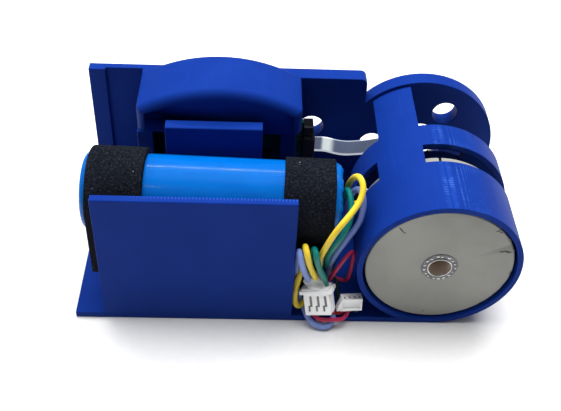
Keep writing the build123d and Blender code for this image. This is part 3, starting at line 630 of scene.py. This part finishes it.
# dark strokes left on the bell's face
bellMarks = [
    {"across": -12.2, "height": 36.3, "length": 2.2, "lean": -52.0, "width": 0.46},
    {"across": -11.2, "height": 35.2, "length": 1.0, "lean": -20.0, "width": 0.4},
    {"across": 13.4, "height": 36.6, "length": 1.5, "lean": 25.0, "width": 0.55},
    {"across": 14.2, "height": 36.0, "length": 1.1, "lean": -30.0, "width": 0.5},
    {"across": 16.2, "height": 29.0, "length": 2.4, "lean": 14.0, "width": 0.6},
    {"across": 17.6, "height": 28.8, "length": 1.7, "lean": -8.0, "width": 0.75},
    {"across": -1.8, "height": 4.3, "length": 0.8, "lean": 30.0, "width": 0.26},
]


def addBellMarks():
    shape = bmesh.new()
    for mark in bellMarks:
        stroke = bmesh.ops.create_uvsphere(shape, u_segments=16, v_segments=8, radius=0.5)["verts"]
        bmesh.ops.scale(shape, vec=(mark["length"] * mm, 0.05 * mm, mark["width"] * mm), verts=stroke)
        turn = Matrix.Rotation(-math.radians(mark["lean"]), 3, "Y")
        bmesh.ops.rotate(shape, verts=stroke, matrix=turn)
        bmesh.ops.translate(shape, verts=stroke, vec=spot(mark["across"], 0.9, mark["height"]))
    etched = mouldedPlastic("etchedMark", (0.04, 0.04, 0.036), 0.6)
    addPiece("bellMarks", shape, etched, "rotor")


addBellMarks()
print("motor dressed")

# cell
cell = {
    "radius": 10.6,
    "length": 70.0,
    "skew": -2.2,
    "fold": 2.0,  # length over which the sleeve folds over the end
    "crumple": 0.3,  # how deep it crumples there
}
cellMiddle = Vector([(low + high) / 2 for low, high in zip(*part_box("cell_body"))])


def alongCell(shape):
    # a piece built along X about the cell's middle is turned and moved into place
    bmesh.ops.rotate(shape, verts=shape.verts, matrix=Matrix.Rotation(math.radians(cell["skew"]), 3, "Z"))
    bmesh.ops.translate(shape, verts=shape.verts, vec=cellMiddle)


def addCellSleeve():
    shape = bmesh.new()
    half, radius = cell["length"] / 2, cell["radius"]
    profile = [
        (-half + 0.6, 0.0), (-half + 0.6, 8.0), (-half + 0.12, 8.25), (-half, 8.7), (-half + 0.02, 9.5),
        (-half + 0.3, 10.2), (-half + 0.9, radius), (-half + 1.9, radius), (-half + 2.3, radius - 0.1),
        (-half + 2.8, radius), (0.0, radius), (half - 3.0, radius), (half - 2.4, radius - 0.04),
        (half - 1.7, radius - 0.16), (half - 1.0, radius - 0.45), (half - 0.45, radius - 0.95),
        (half - 0.2, 9.2), (half - 0.26, 8.6), (half - 0.5, 8.1), (half - 0.5, 0.0),
    ]
    spunAlongX(shape, profile, 128)
    for vert in shape.verts:
        # the shrunk sleeve is crumpled where it folds over the end
        across = math.hypot(vert.co.y, vert.co.z) / mm
        crumple = max(0.0, vert.co.x / mm - half + cell["fold"]) / cell["fold"]
        if crumple and across > 7.0:
            angle = math.atan2(vert.co.z, vert.co.y)
            wave = 0.5 * math.sin(angle * 9) + 0.3 * math.sin(angle * 23 + 1) + 0.2 * math.sin(angle * 41 + 2)
            vert.co.x -= crumple * cell["crumple"] * mm * (1 + wave)
            vert.co.yz *= 1 - 0.012 * crumple * (1 + wave)
    alongCell(shape)
    piece = addPiece("cellSleeve", shape, sleeveBlue(), smoothAngle=60.0)
    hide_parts("cell_body")


addCellSleeve()
repaint("cell_cap", nickel)
repaint("cell_insulator", mouldedPlastic("paperRing", (0.7, 0.7, 0.66), 0.7))

# foam
foam = {
    "left": {"start": -33.3, "end": -18.2, "thickness": 1.8},
    "right": {"start": 19.0, "end": 32.7, "thickness": 1.0},
    "strips": 14,
    "rounding": 0.5,
    "roughness": 0.06,
    "tail": 20.0,
    "padSqueeze": (0.94, 0.92, 0.992),
    "padEdge": 0.0005,
}


def addFoamWrap(side):
    # a band of foam whose edges are rounded and a little uneven
    start, end, thickness = (foam[side][key] for key in ("start", "end", "thickness"))
    inner, outer, soft = cell["radius"] + 0.04, cell["radius"] + thickness, foam["rounding"]
    corner = [step * math.pi / 6 for step in (1, 2, 3)]
    corner = [(soft * (1 - math.cos(turn)), outer - soft + soft * math.sin(turn)) for turn in corner]
    strips = foam["strips"]
    profile = [(start, inner), (start, outer - soft)]
    profile += [(start + along, radius) for along, radius in corner]
    profile += [(start + soft + (end - start - 2 * soft) * step / strips, outer) for step in range(1, strips)]
    profile += [(end - along, radius) for along, radius in reversed(corner)]
    profile += [(end, outer - soft), (end, inner), (start, inner)]
    shape = bmesh.new()
    spunAlongX(shape, profile, 120)
    for vert in shape.verts:
        radial = Vector((0, vert.co.y, vert.co.z))
        if radial.length > (inner + 0.3) * mm:
            angle = math.atan2(vert.co.z, vert.co.y)
            swell = math.sin(angle * 3 + start) * 0.5 + math.sin(angle * 7 + vert.co.x * 900) * 0.3
            swell += math.sin(vert.co.x * 2300 + angle * 11) * 0.2
            vert.co -= radial.normalized() * foam["roughness"] * mm * (1 + swell) * 0.8
            vert.co.x += foam["roughness"] * mm * math.sin(angle * 5 + vert.co.x * 300)
    if side == "left":
        # loose end of the strip, hanging down in front of the cell
        low = Vector((start, 0.08 - outer, -foam["tail"]))
        high = Vector((end, thickness - 0.1 - outer, -1.0))
        cuboid(shape, low * mm, high * mm, soft * mm, 3)
    alongCell(shape)
    piece = addPiece(f"foamWrap{side.title()}", shape, foamFinish, smoothAngle=80.0)
    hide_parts(f"foam_wrap_{side}")


for side in ("left", "right"):
    addFoamWrap(side)


def addFoamPad(side):
    # block of foam squeezed between the base and the wrap, shrunk a little about its foot and given rounded
    # edges
    low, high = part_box(f"foam_pad_{side}")
    foot = Vector(((low[0] + high[0]) / 2, (low[1] + high[1]) / 2, low[2]))
    shape = tidyCopy(f"foam_pad_{side}")
    bmesh.ops.scale(shape, vec=foam["padSqueeze"], verts=shape.verts, space=Matrix.Translation(-foot))
    piece = addPiece(f"foamPad{side.title()}", shape, foamFinish, smoothAngle=60.0)
    roundEdges(piece, foam["padEdge"], 3, 40.0)
    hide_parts(f"foam_pad_{side}")


for side in ("left", "right"):
    addFoamPad(side)
print("cell and foam dressed")

# drive electronics
electronics = {
    "boardGreen": (0.006, 0.05, 0.022),
    "chipEdge": 0.00012,
    "encoderChipEdge": 0.0001,
    "socketEdge": 0.00015,
    "ribbonSocketEdge": 0.00018,
    "guideEdge": 0.0002,
}
repaint("drive_board", laminate("driveBoardGreen", electronics["boardGreen"]))
repaint("encoder_board", laminate("encoderBoardGreen", electronics["boardGreen"]))
softened("drive_controller", "controllerChip", blackPlastic, electronics["chipEdge"])
softened("drive_transistors", "transistorChips", blackPlastic, electronics["chipEdge"])
softened("encoder_chip", "encoderChipBody", blackPlastic, electronics["encoderChipEdge"])
repaint("drive_capacitors", aluminium)
softened("encoder_socket", "encoderSocketBody", blackPlastic, electronics["socketEdge"])
repaint("encoder_posts", brass)
repaint("encoder_screws", steel)
repaint("encoder_ribbon", flatCableSilver())
softened("wire_guide", "wireGuideBody", blackPlastic, electronics["guideEdge"])
softened("ribbon_socket", "ribbonSocketBody", blackPlastic, electronics["ribbonSocketEdge"])

socketContacts = {
    "count": 6,
    "inset": 0.4,
    "share": 0.55,  # of the pitch
    "depth": (0.3, 1.5),  # behind the socket's front
    "below": (4.1, 3.4),  # under its top
    "edge": 0.08,
}


def addSocketContacts():
    # a row of bright contacts between the socket's body and its latch
    low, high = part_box("ribbon_socket")
    shape = bmesh.new()
    inset = socketContacts["inset"] * mm
    pitch = (high[0] - low[0] - 2 * inset) / socketContacts["count"]
    front, back = (low[1] + depth * mm for depth in socketContacts["depth"])
    bottom, top = (high[2] - below * mm for below in socketContacts["below"])
    for number in range(socketContacts["count"]):
        x = low[0] + inset + pitch * number
        across = pitch * socketContacts["share"]
        cuboid(shape, (x, front, bottom), (x + across, back, top), socketContacts["edge"] * mm)
    addPiece("socketContacts", shape, nickel)


addSocketContacts()

chipLegs = {"count": 9, "length": 0.9, "width": 0.26, "depth": (0.35, 0.1), "edge": 0.04}


def addChipLegs(node):
    # legs stand out from the chip's lower and upper sides, just in front of the board
    low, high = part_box(node)
    shape = bmesh.new()
    pitch = (high[0] - low[0]) / (chipLegs["count"] + 1)
    front, back = (high[1] - depth * mm for depth in chipLegs["depth"])
    half, length = chipLegs["width"] / 2 * mm, chipLegs["length"] * mm
    for number in range(chipLegs["count"]):
        x = low[0] + pitch * (number + 1)
        for bottom in (low[2] - length, high[2]):
            cuboid(shape, (x - half, front, bottom), (x + half, back, bottom + length), chipLegs["edge"] * mm)
    addPiece(node.replace("_", "") + "Legs", shape, nickel)


addChipLegs("drive_controller")
print("electronics dressed")

# plugs
phasePlug = {
    "edge": (-32.0, -3.0, 6.0),  # the middle of its lower front edge
    "lean": 66.0,
    "twist": -16.0,
    "roll": -9.0,
    "width": 7.4,
    "thick": 4.6,
    "length": 8.0,
    "pitch": 2.1,
    "collar": 9.4,
    "skin": 1.0,
    "foot": 1.0,  # the slots' lower and upper ends, and the step between them
    "top": 5.7,
    "step": 2.65,
}
signalPlug = {
    "edge": (-22.5, -0.35, 5.0),
    "lean": 80.0,
    "twist": 6.0,
    "roll": 0.0,
    "width": 6.0,
    "thick": 2.8,
    "length": 4.2,
    "pitch": 1.25,
    "slotPitch": 1.42,
    "slots": 4,
    "flare": 1.1,  # how far the foot spreads to the left
}


def plugFrame(plug):
    # plugs stand on their lower front edge before they are leaned, twisted and rolled
    lean = Matrix.Rotation(math.radians(plug["lean"] - 90), 4, "X")
    twist = Matrix.Rotation(math.radians(plug["twist"]), 4, "Z")
    roll = Matrix.Rotation(math.radians(plug["roll"]), 4, "Y")
    return Matrix.Translation(plug["edge"]) @ lean @ twist @ roll


def leanPlug(shape, plug):
    # from millimetres about the plug to metres in the part's frame
    toScene = Matrix.Translation(spot(0, 0, 0)) @ Matrix.Scale(mm, 4)
    bmesh.ops.transform(shape, matrix=toScene @ plugFrame(plug), verts=shape.verts)


def addPhasePlug():
    # shell whose front is built round three stepped slots, with a collar at the wires' end
    shape = bmesh.new()
    thick, length, foot, top, step = (phasePlug[key] for key in ("thick", "length", "foot", "top", "step"))
    half, wide, skin = phasePlug["width"] / 2, phasePlug["collar"] / 2, phasePlug["skin"]
    front, body = skin + 0.04, length - 1.5  # the front reaches a little into the body
    slots = [number * phasePlug["pitch"] for number in (-1, 0, 1)]
    cuboid(shape, (-half, skin, 0.0), (half, thick, body), 0.16)
    cuboid(shape, (-half, 0.0, 0.0), (half, front, foot), 0.14)
    cuboid(shape, (-half, 0.0, top), (half, front, body), 0.14)
    bars = [-half, *(middle + side for middle in slots for side in (-0.6, 0.7)), half]
    for left, right in zip(bars[::2], bars[1::2]):
        cuboid(shape, (left, 0.0, foot - 0.3), (right, front, top + 0.2), 0.1)
    for middle in slots:
        cuboid(shape, (middle - 0.64, 0.05, step + 0.25), (middle, front, top + 0.1), 0.05)
        cuboid(shape, (middle, 0.05, foot - 0.1), (middle + 0.74, front, step - 0.25), 0.05)
    cuboid(shape, (-wide, -0.4, length - 1.7), (wide, thick + 0.4, length - 0.55), 0.2)
    cuboid(shape, (-wide + 0.8, -0.1, length - 0.7), (wide - 0.8, thick + 0.1, length), 0.2)
    cuboid(shape, (half - 0.1, 1.3, 0.3), (half + 0.35, thick - 0.5, length - 1.6), 0.12)
    leanPlug(shape, phasePlug)
    piece = addPiece("phasePlugShell", shape, ivoryPlastic, smoothAngle=40.0)
    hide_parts("phase_plug")
    # painted shade: dark grey blocks behind the three slots stand in for the shade in their depths
    dark = bmesh.new()
    for middle in slots:
        cuboid(dark, (middle - 0.62, 0.5, foot - 0.1), (middle + 0.72, skin + 0.02, top + 0.1))
    leanPlug(dark, phasePlug)
    back = addPiece("phasePlugContactShade", dark, contactShade)
    return [piece, back]


glue = {
    "size": (3.0, 2.1, 3.3),
    "middle": (-0.2, phasePlug["thick"] / 2 - 0.5, phasePlug["length"] + 0.8),
    "flatUnder": -0.3,
    "lean": 0.22,
}


def addGlue():
    # drop of clear glue where the leads go into the large plug
    shape = bmesh.new()
    made = bmesh.ops.create_icosphere(shape, subdivisions=4, radius=1.0)["verts"]
    for vert in made:
        lump = math.sin(vert.co.x * 5 + 1) * 0.1 + math.sin(vert.co.z * 7 + vert.co.y * 4) * 0.08
        vert.co *= 1 + lump
        vert.co.z = max(vert.co.z, glue["flatUnder"])
        vert.co.x -= glue["lean"] * vert.co.z
    bmesh.ops.scale(shape, vec=glue["size"], verts=made)
    bmesh.ops.translate(shape, vec=glue["middle"], verts=made)
    leanPlug(shape, phasePlug)
    return addPiece("phasePlugGlue", shape, clearGlue(), smoothAngle=80.0)


def addSignalPlug():
    # low housing with a flared foot, a recessed front and a row of small slots in its top
    shape = bmesh.new()
    half, thick, length = signalPlug["width"] / 2, signalPlug["thick"], signalPlug["length"]
    cuboid(shape, (-half + 0.25, 0.75, 0.0), (half - 0.25, thick, length - 0.3), 0.12)
    cuboid(shape, (-half, 0.0, length - 1.0), (half, thick, length), 0.16)
    for middle in (0.2 - half, half - 0.2):
        cuboid(shape, (middle - 0.22, 0.02, 0.2), (middle + 0.22, 1.2, length - 0.4), 0.1)
    cuboid(shape, (-half - 0.05, -0.05, 0.0), (half + 0.05, thick + 0.1, 0.55), 0.12)
    flare = cuboid(shape, (-half - 0.1, 0.2, 0.0), (-half + 0.4, thick - 0.4, length - 0.9))
    for vert in flare:
        if vert.co.x < -half:
            vert.co.x -= signalPlug["flare"] * (1 - vert.co.z / (length - 0.9))
    leanPlug(shape, signalPlug)
    piece = addPiece("signalPlugShell", shape, ivoryPlastic, smoothAngle=40.0)
    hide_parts("signal_plug")
    # painted shade: dark grey blocks in the four slots stand in for the shade in their depths
    dark = bmesh.new()
    first = -(signalPlug["slots"] - 1) / 2
    for number in range(signalPlug["slots"]):
        x = (first + number) * signalPlug["slotPitch"] + 0.1
        cuboid(dark, (x - 0.2, 0.5, length - 0.1), (x + 0.2, 1.3, length + 0.012))
    leanPlug(dark, signalPlug)
    back = addPiece("signalPlugSlotShade", dark, contactShade)
    return [piece, back]


phasePieces = addPhasePlug() + [addGlue()]
signalPieces = addSignalPlug()

# wires, from the guide in the cup's window to their plugs
# an entry is the place in the plug's row, the run outside the plug and the end inside it
wires = {
    "phase_wire_yellow": {
        "radius": 0.84,
        "colour": (0.76, 0.56, 0.035),
        "roughness": 0.3,
        "plug": phasePlug,
        "pieces": phasePieces,
        "entry": (0, 1.6, -0.4),
        "route": [
            (-16.9, 24.7, 28.2), (-18.2, 24.9, 27.2), (-19.8, 25.0, 23.8), (-23.4, 24.2, 22.8),
            (-25.0, 21.8, 26.2), (-25.2, 19.6, 31.4), (-25.0, 17.6, 36.8), (-24.2, 15.2, 41.8),
            (-22.9, 12.4, 44.4), (-22.0, 9.6, 43.0), (-22.8, 7.2, 40.6), (-24.8, 4.6, 39.0),
            (-27.4, 2.0, 37.2), (-29.8, 0.5, 34.2), (-31.4, -0.1, 30.6), (-32.5, 0.6, 26.4),
            (-32.4, 3.2, 21.6), (-31.9, 6.2, 15.8), (-32.0, 7.4, 9.6), (-33.2, 6.6, 5.2),
            (-35.2, 4.2, 4.2), (-37.6, 1.8, 3.7), (-38.8, 1.7, 7.0), (-38.5, 2.5, 11.2),
            (-37.6, 3.6, 14.8), (-36.6, 4.8, 18.6), (-36.4, 4.9, 22.6), (-36.6, 3.6, 25.6),
            (-36.8, 2.4, 28.0), (-36.9, 0.3, 29.8), (-36.5, -1.6, 29.2), (-35.9, -2.0, 26.4),
            (-35.0, -0.8, 22.6), (-33.9, 1.1, 18.2),
        ],
    },
    "phase_wire_teal": {
        "radius": 0.84,
        "colour": (0.0, 0.175, 0.15),
        "roughness": 0.3,
        "plug": phasePlug,
        "pieces": phasePieces,
        "entry": (1.22, 1.6, -0.4),
        "route": [
            (-16.9, 24.7, 25.9), (-18.4, 24.8, 25.0), (-20.2, 24.9, 22.0), (-23.8, 23.4, 21.8),
            (-25.2, 20.8, 26.2), (-25.5, 18.0, 32.4), (-25.7, 15.6, 36.6), (-25.5, 13.2, 38.8),
            (-25.0, 10.6, 38.4), (-24.8, 8.2, 37.0), (-25.0, 5.8, 35.2), (-26.1, 3.6, 33.4),
            (-27.9, 2.0, 30.8), (-29.5, 1.9, 27.6), (-30.5, 2.8, 23.8), (-30.1, 5.6, 19.6),
            (-29.9, 8.5, 14.6), (-30.2, 10.6, 9.0), (-31.6, 10.2, 5.2), (-34.0, 8.8, 5.2),
            (-35.2, 7.4, 9.0), (-35.1, 6.2, 14.4), (-34.8, 5.0, 19.6), (-34.5, 3.6, 24.4),
            (-34.4, 2.4, 26.8), (-34.4, 0.4, 28.9), (-34.0, -1.5, 28.4), (-33.5, -1.9, 25.8),
            (-32.5, -0.8, 22.0), (-31.2, 1.0, 17.6),
        ],
    },
    "phase_wire_violet": {
        "radius": 0.84,
        "colour": (0.19, 0.27, 0.62),
        "roughness": 0.32,
        "plug": phasePlug,
        "pieces": phasePieces,
        "entry": (-1, 1.6, -0.4),
        "route": [
            (-16.9, 24.7, 23.6), (-18.6, 24.8, 22.8), (-20.4, 24.4, 20.2), (-23.6, 22.0, 20.6),
            (-24.6, 18.8, 26.6), (-24.6, 15.8, 34.0), (-24.0, 13.8, 37.8), (-23.0, 12.4, 40.2),
            (-21.9, 10.8, 39.8), (-21.4, 9.6, 36.8), (-21.8, 8.4, 32.8), (-23.3, 7.5, 29.6),
            (-24.9, 7.0, 26.8), (-26.5, 6.8, 23.6), (-28.0, 7.0, 20.0), (-28.9, 7.4, 16.0),
            (-29.2, 8.6, 12.0), (-29.4, 9.2, 7.8), (-29.0, 8.0, 4.2), (-28.4, 5.2, 3.1),
            (-27.7, 2.2, 2.95), (-27.4, -1.2, 2.7), (-28.6, -3.0, 1.6), (-30.4, -3.2, 1.15),
            (-32.6, -2.8, 1.5), (-34.2, -2.0, 2.4), (-35.2, 0.2, 2.95), (-36.0, 3.0, 2.95),
            (-37.2, 5.0, 4.6), (-38.2, 5.9, 8.4), (-38.5, 5.7, 12.4), (-38.5, 4.4, 16.6),
            (-38.5, 3.0, 20.6), (-38.5, 2.3, 23.8), (-38.5, 1.9, 26.2), (-38.3, 0.5, 28.0),
            (-38.1, -1.2, 28.0), (-37.7, -2.2, 26.0), (-36.8, -1.2, 21.8), (-35.8, 0.8, 17.6),
        ],
    },
    "signal_wire_red": {
        "radius": 0.55,
        "colour": (0.42, 0.008, 0.02),
        "roughness": 0.3,
        "plug": signalPlug,
        "pieces": signalPieces,
        "entry": (-1.5, 1.6, -0.3),
        "route": [
            (-16.9, 24.7, 21.6), (-19.8, 24.7, 21.6), (-22.8, 22.8, 17.4), (-25.6, 19.4, 12.4),
            (-28.4, 14.8, 6.0), (-29.6, 11.0, 2.9), (-30.0, 7.6, 2.6), (-30.9, 4.6, 2.6),
            (-31.6, 1.6, 2.7), (-30.2, -0.4, 4.0), (-28.4, -0.3, 4.8), (-27.0, 0.2, 3.4),
        ],
    },
    "signal_wire_crimson": {
        "radius": 0.6,
        "colour": (0.46, 0.018, 0.085),
        "roughness": 0.3,
        "plug": signalPlug,
        "pieces": signalPieces,
        "entry": (-0.5, 1.9, -0.3),
        "route": [
            (-16.9, 24.7, 20.2), (-20.0, 24.7, 20.2), (-23.0, 22.6, 17.0), (-25.8, 19.2, 13.6),
            (-28.8, 15.0, 10.0), (-29.4, 11.6, 8.8), (-26.9, 8.6, 8.7), (-23.6, 7.8, 8.4),
            (-22.9, 7.8, 12.6), (-22.7, 7.8, 17.0), (-22.5, 7.5, 19.9), (-23.2, 6.9, 21.8),
            (-24.7, 6.1, 20.8), (-26.1, 5.6, 18.2), (-27.4, 5.2, 15.8), (-28.7, 5.5, 12.4),
            (-29.7, 6.2, 8.0), (-31.2, 5.4, 4.2), (-33.0, 3.4, 2.75), (-33.5, 0.7, 2.7),
            (-32.4, -1.6, 3.0), (-30.0, -2.6, 3.5), (-27.6, -2.5, 3.7), (-25.0, -2.0, 3.1),
        ],
    },
    "signal_wire_black": {
        "radius": 0.55,
        "colour": (0.004, 0.024, 0.024),
        "roughness": 0.32,
        "plug": signalPlug,
        "pieces": signalPieces,
        "entry": (1.5, 2.0, -0.3),
        "route": [
            (-16.9, 24.7, 18.8), (-19.4, 24.7, 18.8), (-22.2, 22.6, 14.0), (-25.2, 19.4, 9.6),
            (-27.4, 14.6, 6.8), (-27.6, 10.6, 8.0), (-26.6, 7.0, 9.4), (-26.3, 4.6, 7.6),
            (-26.0, 3.4, 4.4), (-24.0, 3.2, 2.7), (-21.1, 3.7, 2.65),
        ],
    },
}


def plugEntry(plug, number, run):
    # the large plug takes its wires at the top, the small one at the bottom
    up = plug["length"] + run if plug is phasePlug else -run
    return tuple(plugFrame(plug) @ Vector((number * plug["pitch"], plug["thick"] / 2, up)))


def addWire(node, facts):
    name = "".join(word.title() if number else word for number, word in enumerate(node.split("_")))
    number, outside, inside = facts["entry"]
    route = facts["route"] + [plugEntry(facts["plug"], number, run) for run in (outside, inside)]
    curve = bpy.data.curves.new(name, "CURVE")
    curve.dimensions = "3D"
    spline = curve.splines.new("NURBS")
    spline.points.add(len(route) - 1)
    for point, place in zip(spline.points, route):
        point.co = (*spot(*place), 1.0)
    spline.order_u = 3
    spline.use_endpoint_u = True
    spline.resolution_u = 10
    curve.bevel_depth = facts["radius"] * mm
    curve.bevel_resolution = 5
    curve.use_fill_caps = True
    piece = placed(name, curve)
    curve.materials.append(wireSkin(name + "Skin", facts["colour"], facts["roughness"]))
    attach(piece, "chassis")
    "wire_" + node.split("_")[-1]
    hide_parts(node)
    length = spline.calc_length()
    tuple(spot(*route[0]))
    2 * facts["radius"] * mm
    print(name, "length", round(length * 1000, 1), "mm")


for node, facts in wires.items():
    addWire(node, facts)
print("wires laid")

# floor, light and camera
stageSet = {
    "floorSize": 6.0,
    "aim": (0.0, 0.0, 0.02),  # where the lights point
    "key": {"place": (0.05, 0.28, 0.95), "size": (1.1, 0.9), "power": 25.0, "glossy": False},
    "left": {"place": (-0.9, 0.02, 0.55), "size": (0.5, 0.8), "power": 3.4, "glossy": False},
    "strip": {"place": (-0.36, -0.38, 0.8), "size": (0.3, 0.016), "power": 0.25},
    "stripBack": {"place": (0.0, 0.58, 0.8), "size": (1.4, 0.016), "power": 3.0},
    "world": 0.175,
}


def addFloor():
    shape = bmesh.new()
    bmesh.ops.create_grid(shape, x_segments=4, y_segments=4, size=stageSet["floorSize"] / 2)
    mesh = bpy.data.meshes.new("floor")
    shape.to_mesh(mesh)
    shape.free()
    mesh.materials.append(floorPaper())
    placed("floor", mesh)


def addLight(name):
    facts = stageSet[name]
    lamp = bpy.data.lights.new(name, "AREA")
    lamp.shape = "RECTANGLE"
    lamp.size, lamp.size_y = facts["size"]
    lamp.energy = facts["power"]
    holder = placed(name, lamp)
    holder.location = facts["place"]
    holder.visible_glossy = facts.get("glossy", True)
    away = Vector(facts["place"]) - Vector(stageSet["aim"])
    holder.rotation_euler = away.to_track_quat("Z", "Y").to_euler()


addFloor()
for name in ("key", "left", "strip", "stripBack"):
    addLight(name)
world = bpy.data.worlds.new("studio")
world.use_nodes = True
world.node_tree.nodes["Background"].inputs["Color"].default_value = (1.0, 1.0, 1.0, 1.0)
world.node_tree.nodes["Background"].inputs["Strength"].default_value = stageSet["world"]
bpy.context.scene.world = world
bpy.context.scene.view_settings.view_transform = "Standard"

view = {
    "place": (-51.1, -163.1, 195.8),
    "down": 42.83,  # angles in degrees
    "turn": 2.59,
    "roll": -3.01,
    "lens": 56.59,
    "frame": (561, 411),
    "middle": (281.8, 206.6),  # where the lens points, from the frame's top left
}
down, turn, roll = (math.radians(view[key]) for key in ("down", "turn", "roll"))
ahead = Vector((math.sin(turn) * math.cos(down), math.cos(turn) * math.cos(down), -math.sin(down)))
sideways = Vector((math.cos(turn), -math.sin(turn), 0.0))
upward = sideways.cross(ahead)
right = math.cos(roll) * sideways - math.sin(roll) * upward
up = math.sin(roll) * sideways + math.cos(roll) * upward
camera = placed("camera", bpy.data.cameras.new("camera"))
turnMatrix = Matrix((right, up, -ahead)).transposed().to_4x4()
camera.matrix_world = Matrix.Translation(spot(*view["place"])) @ turnMatrix
camera.data.lens = view["lens"]
camera.data.sensor_width = 36.0
width, height = view["frame"]
camera.data.shift_x = (width / 2 - view["middle"][0]) / width
camera.data.shift_y = (view["middle"][1] - height / 2) / width
camera.data.clip_start = 0.005
bpy.context.scene.camera = camera
print("stage ready")
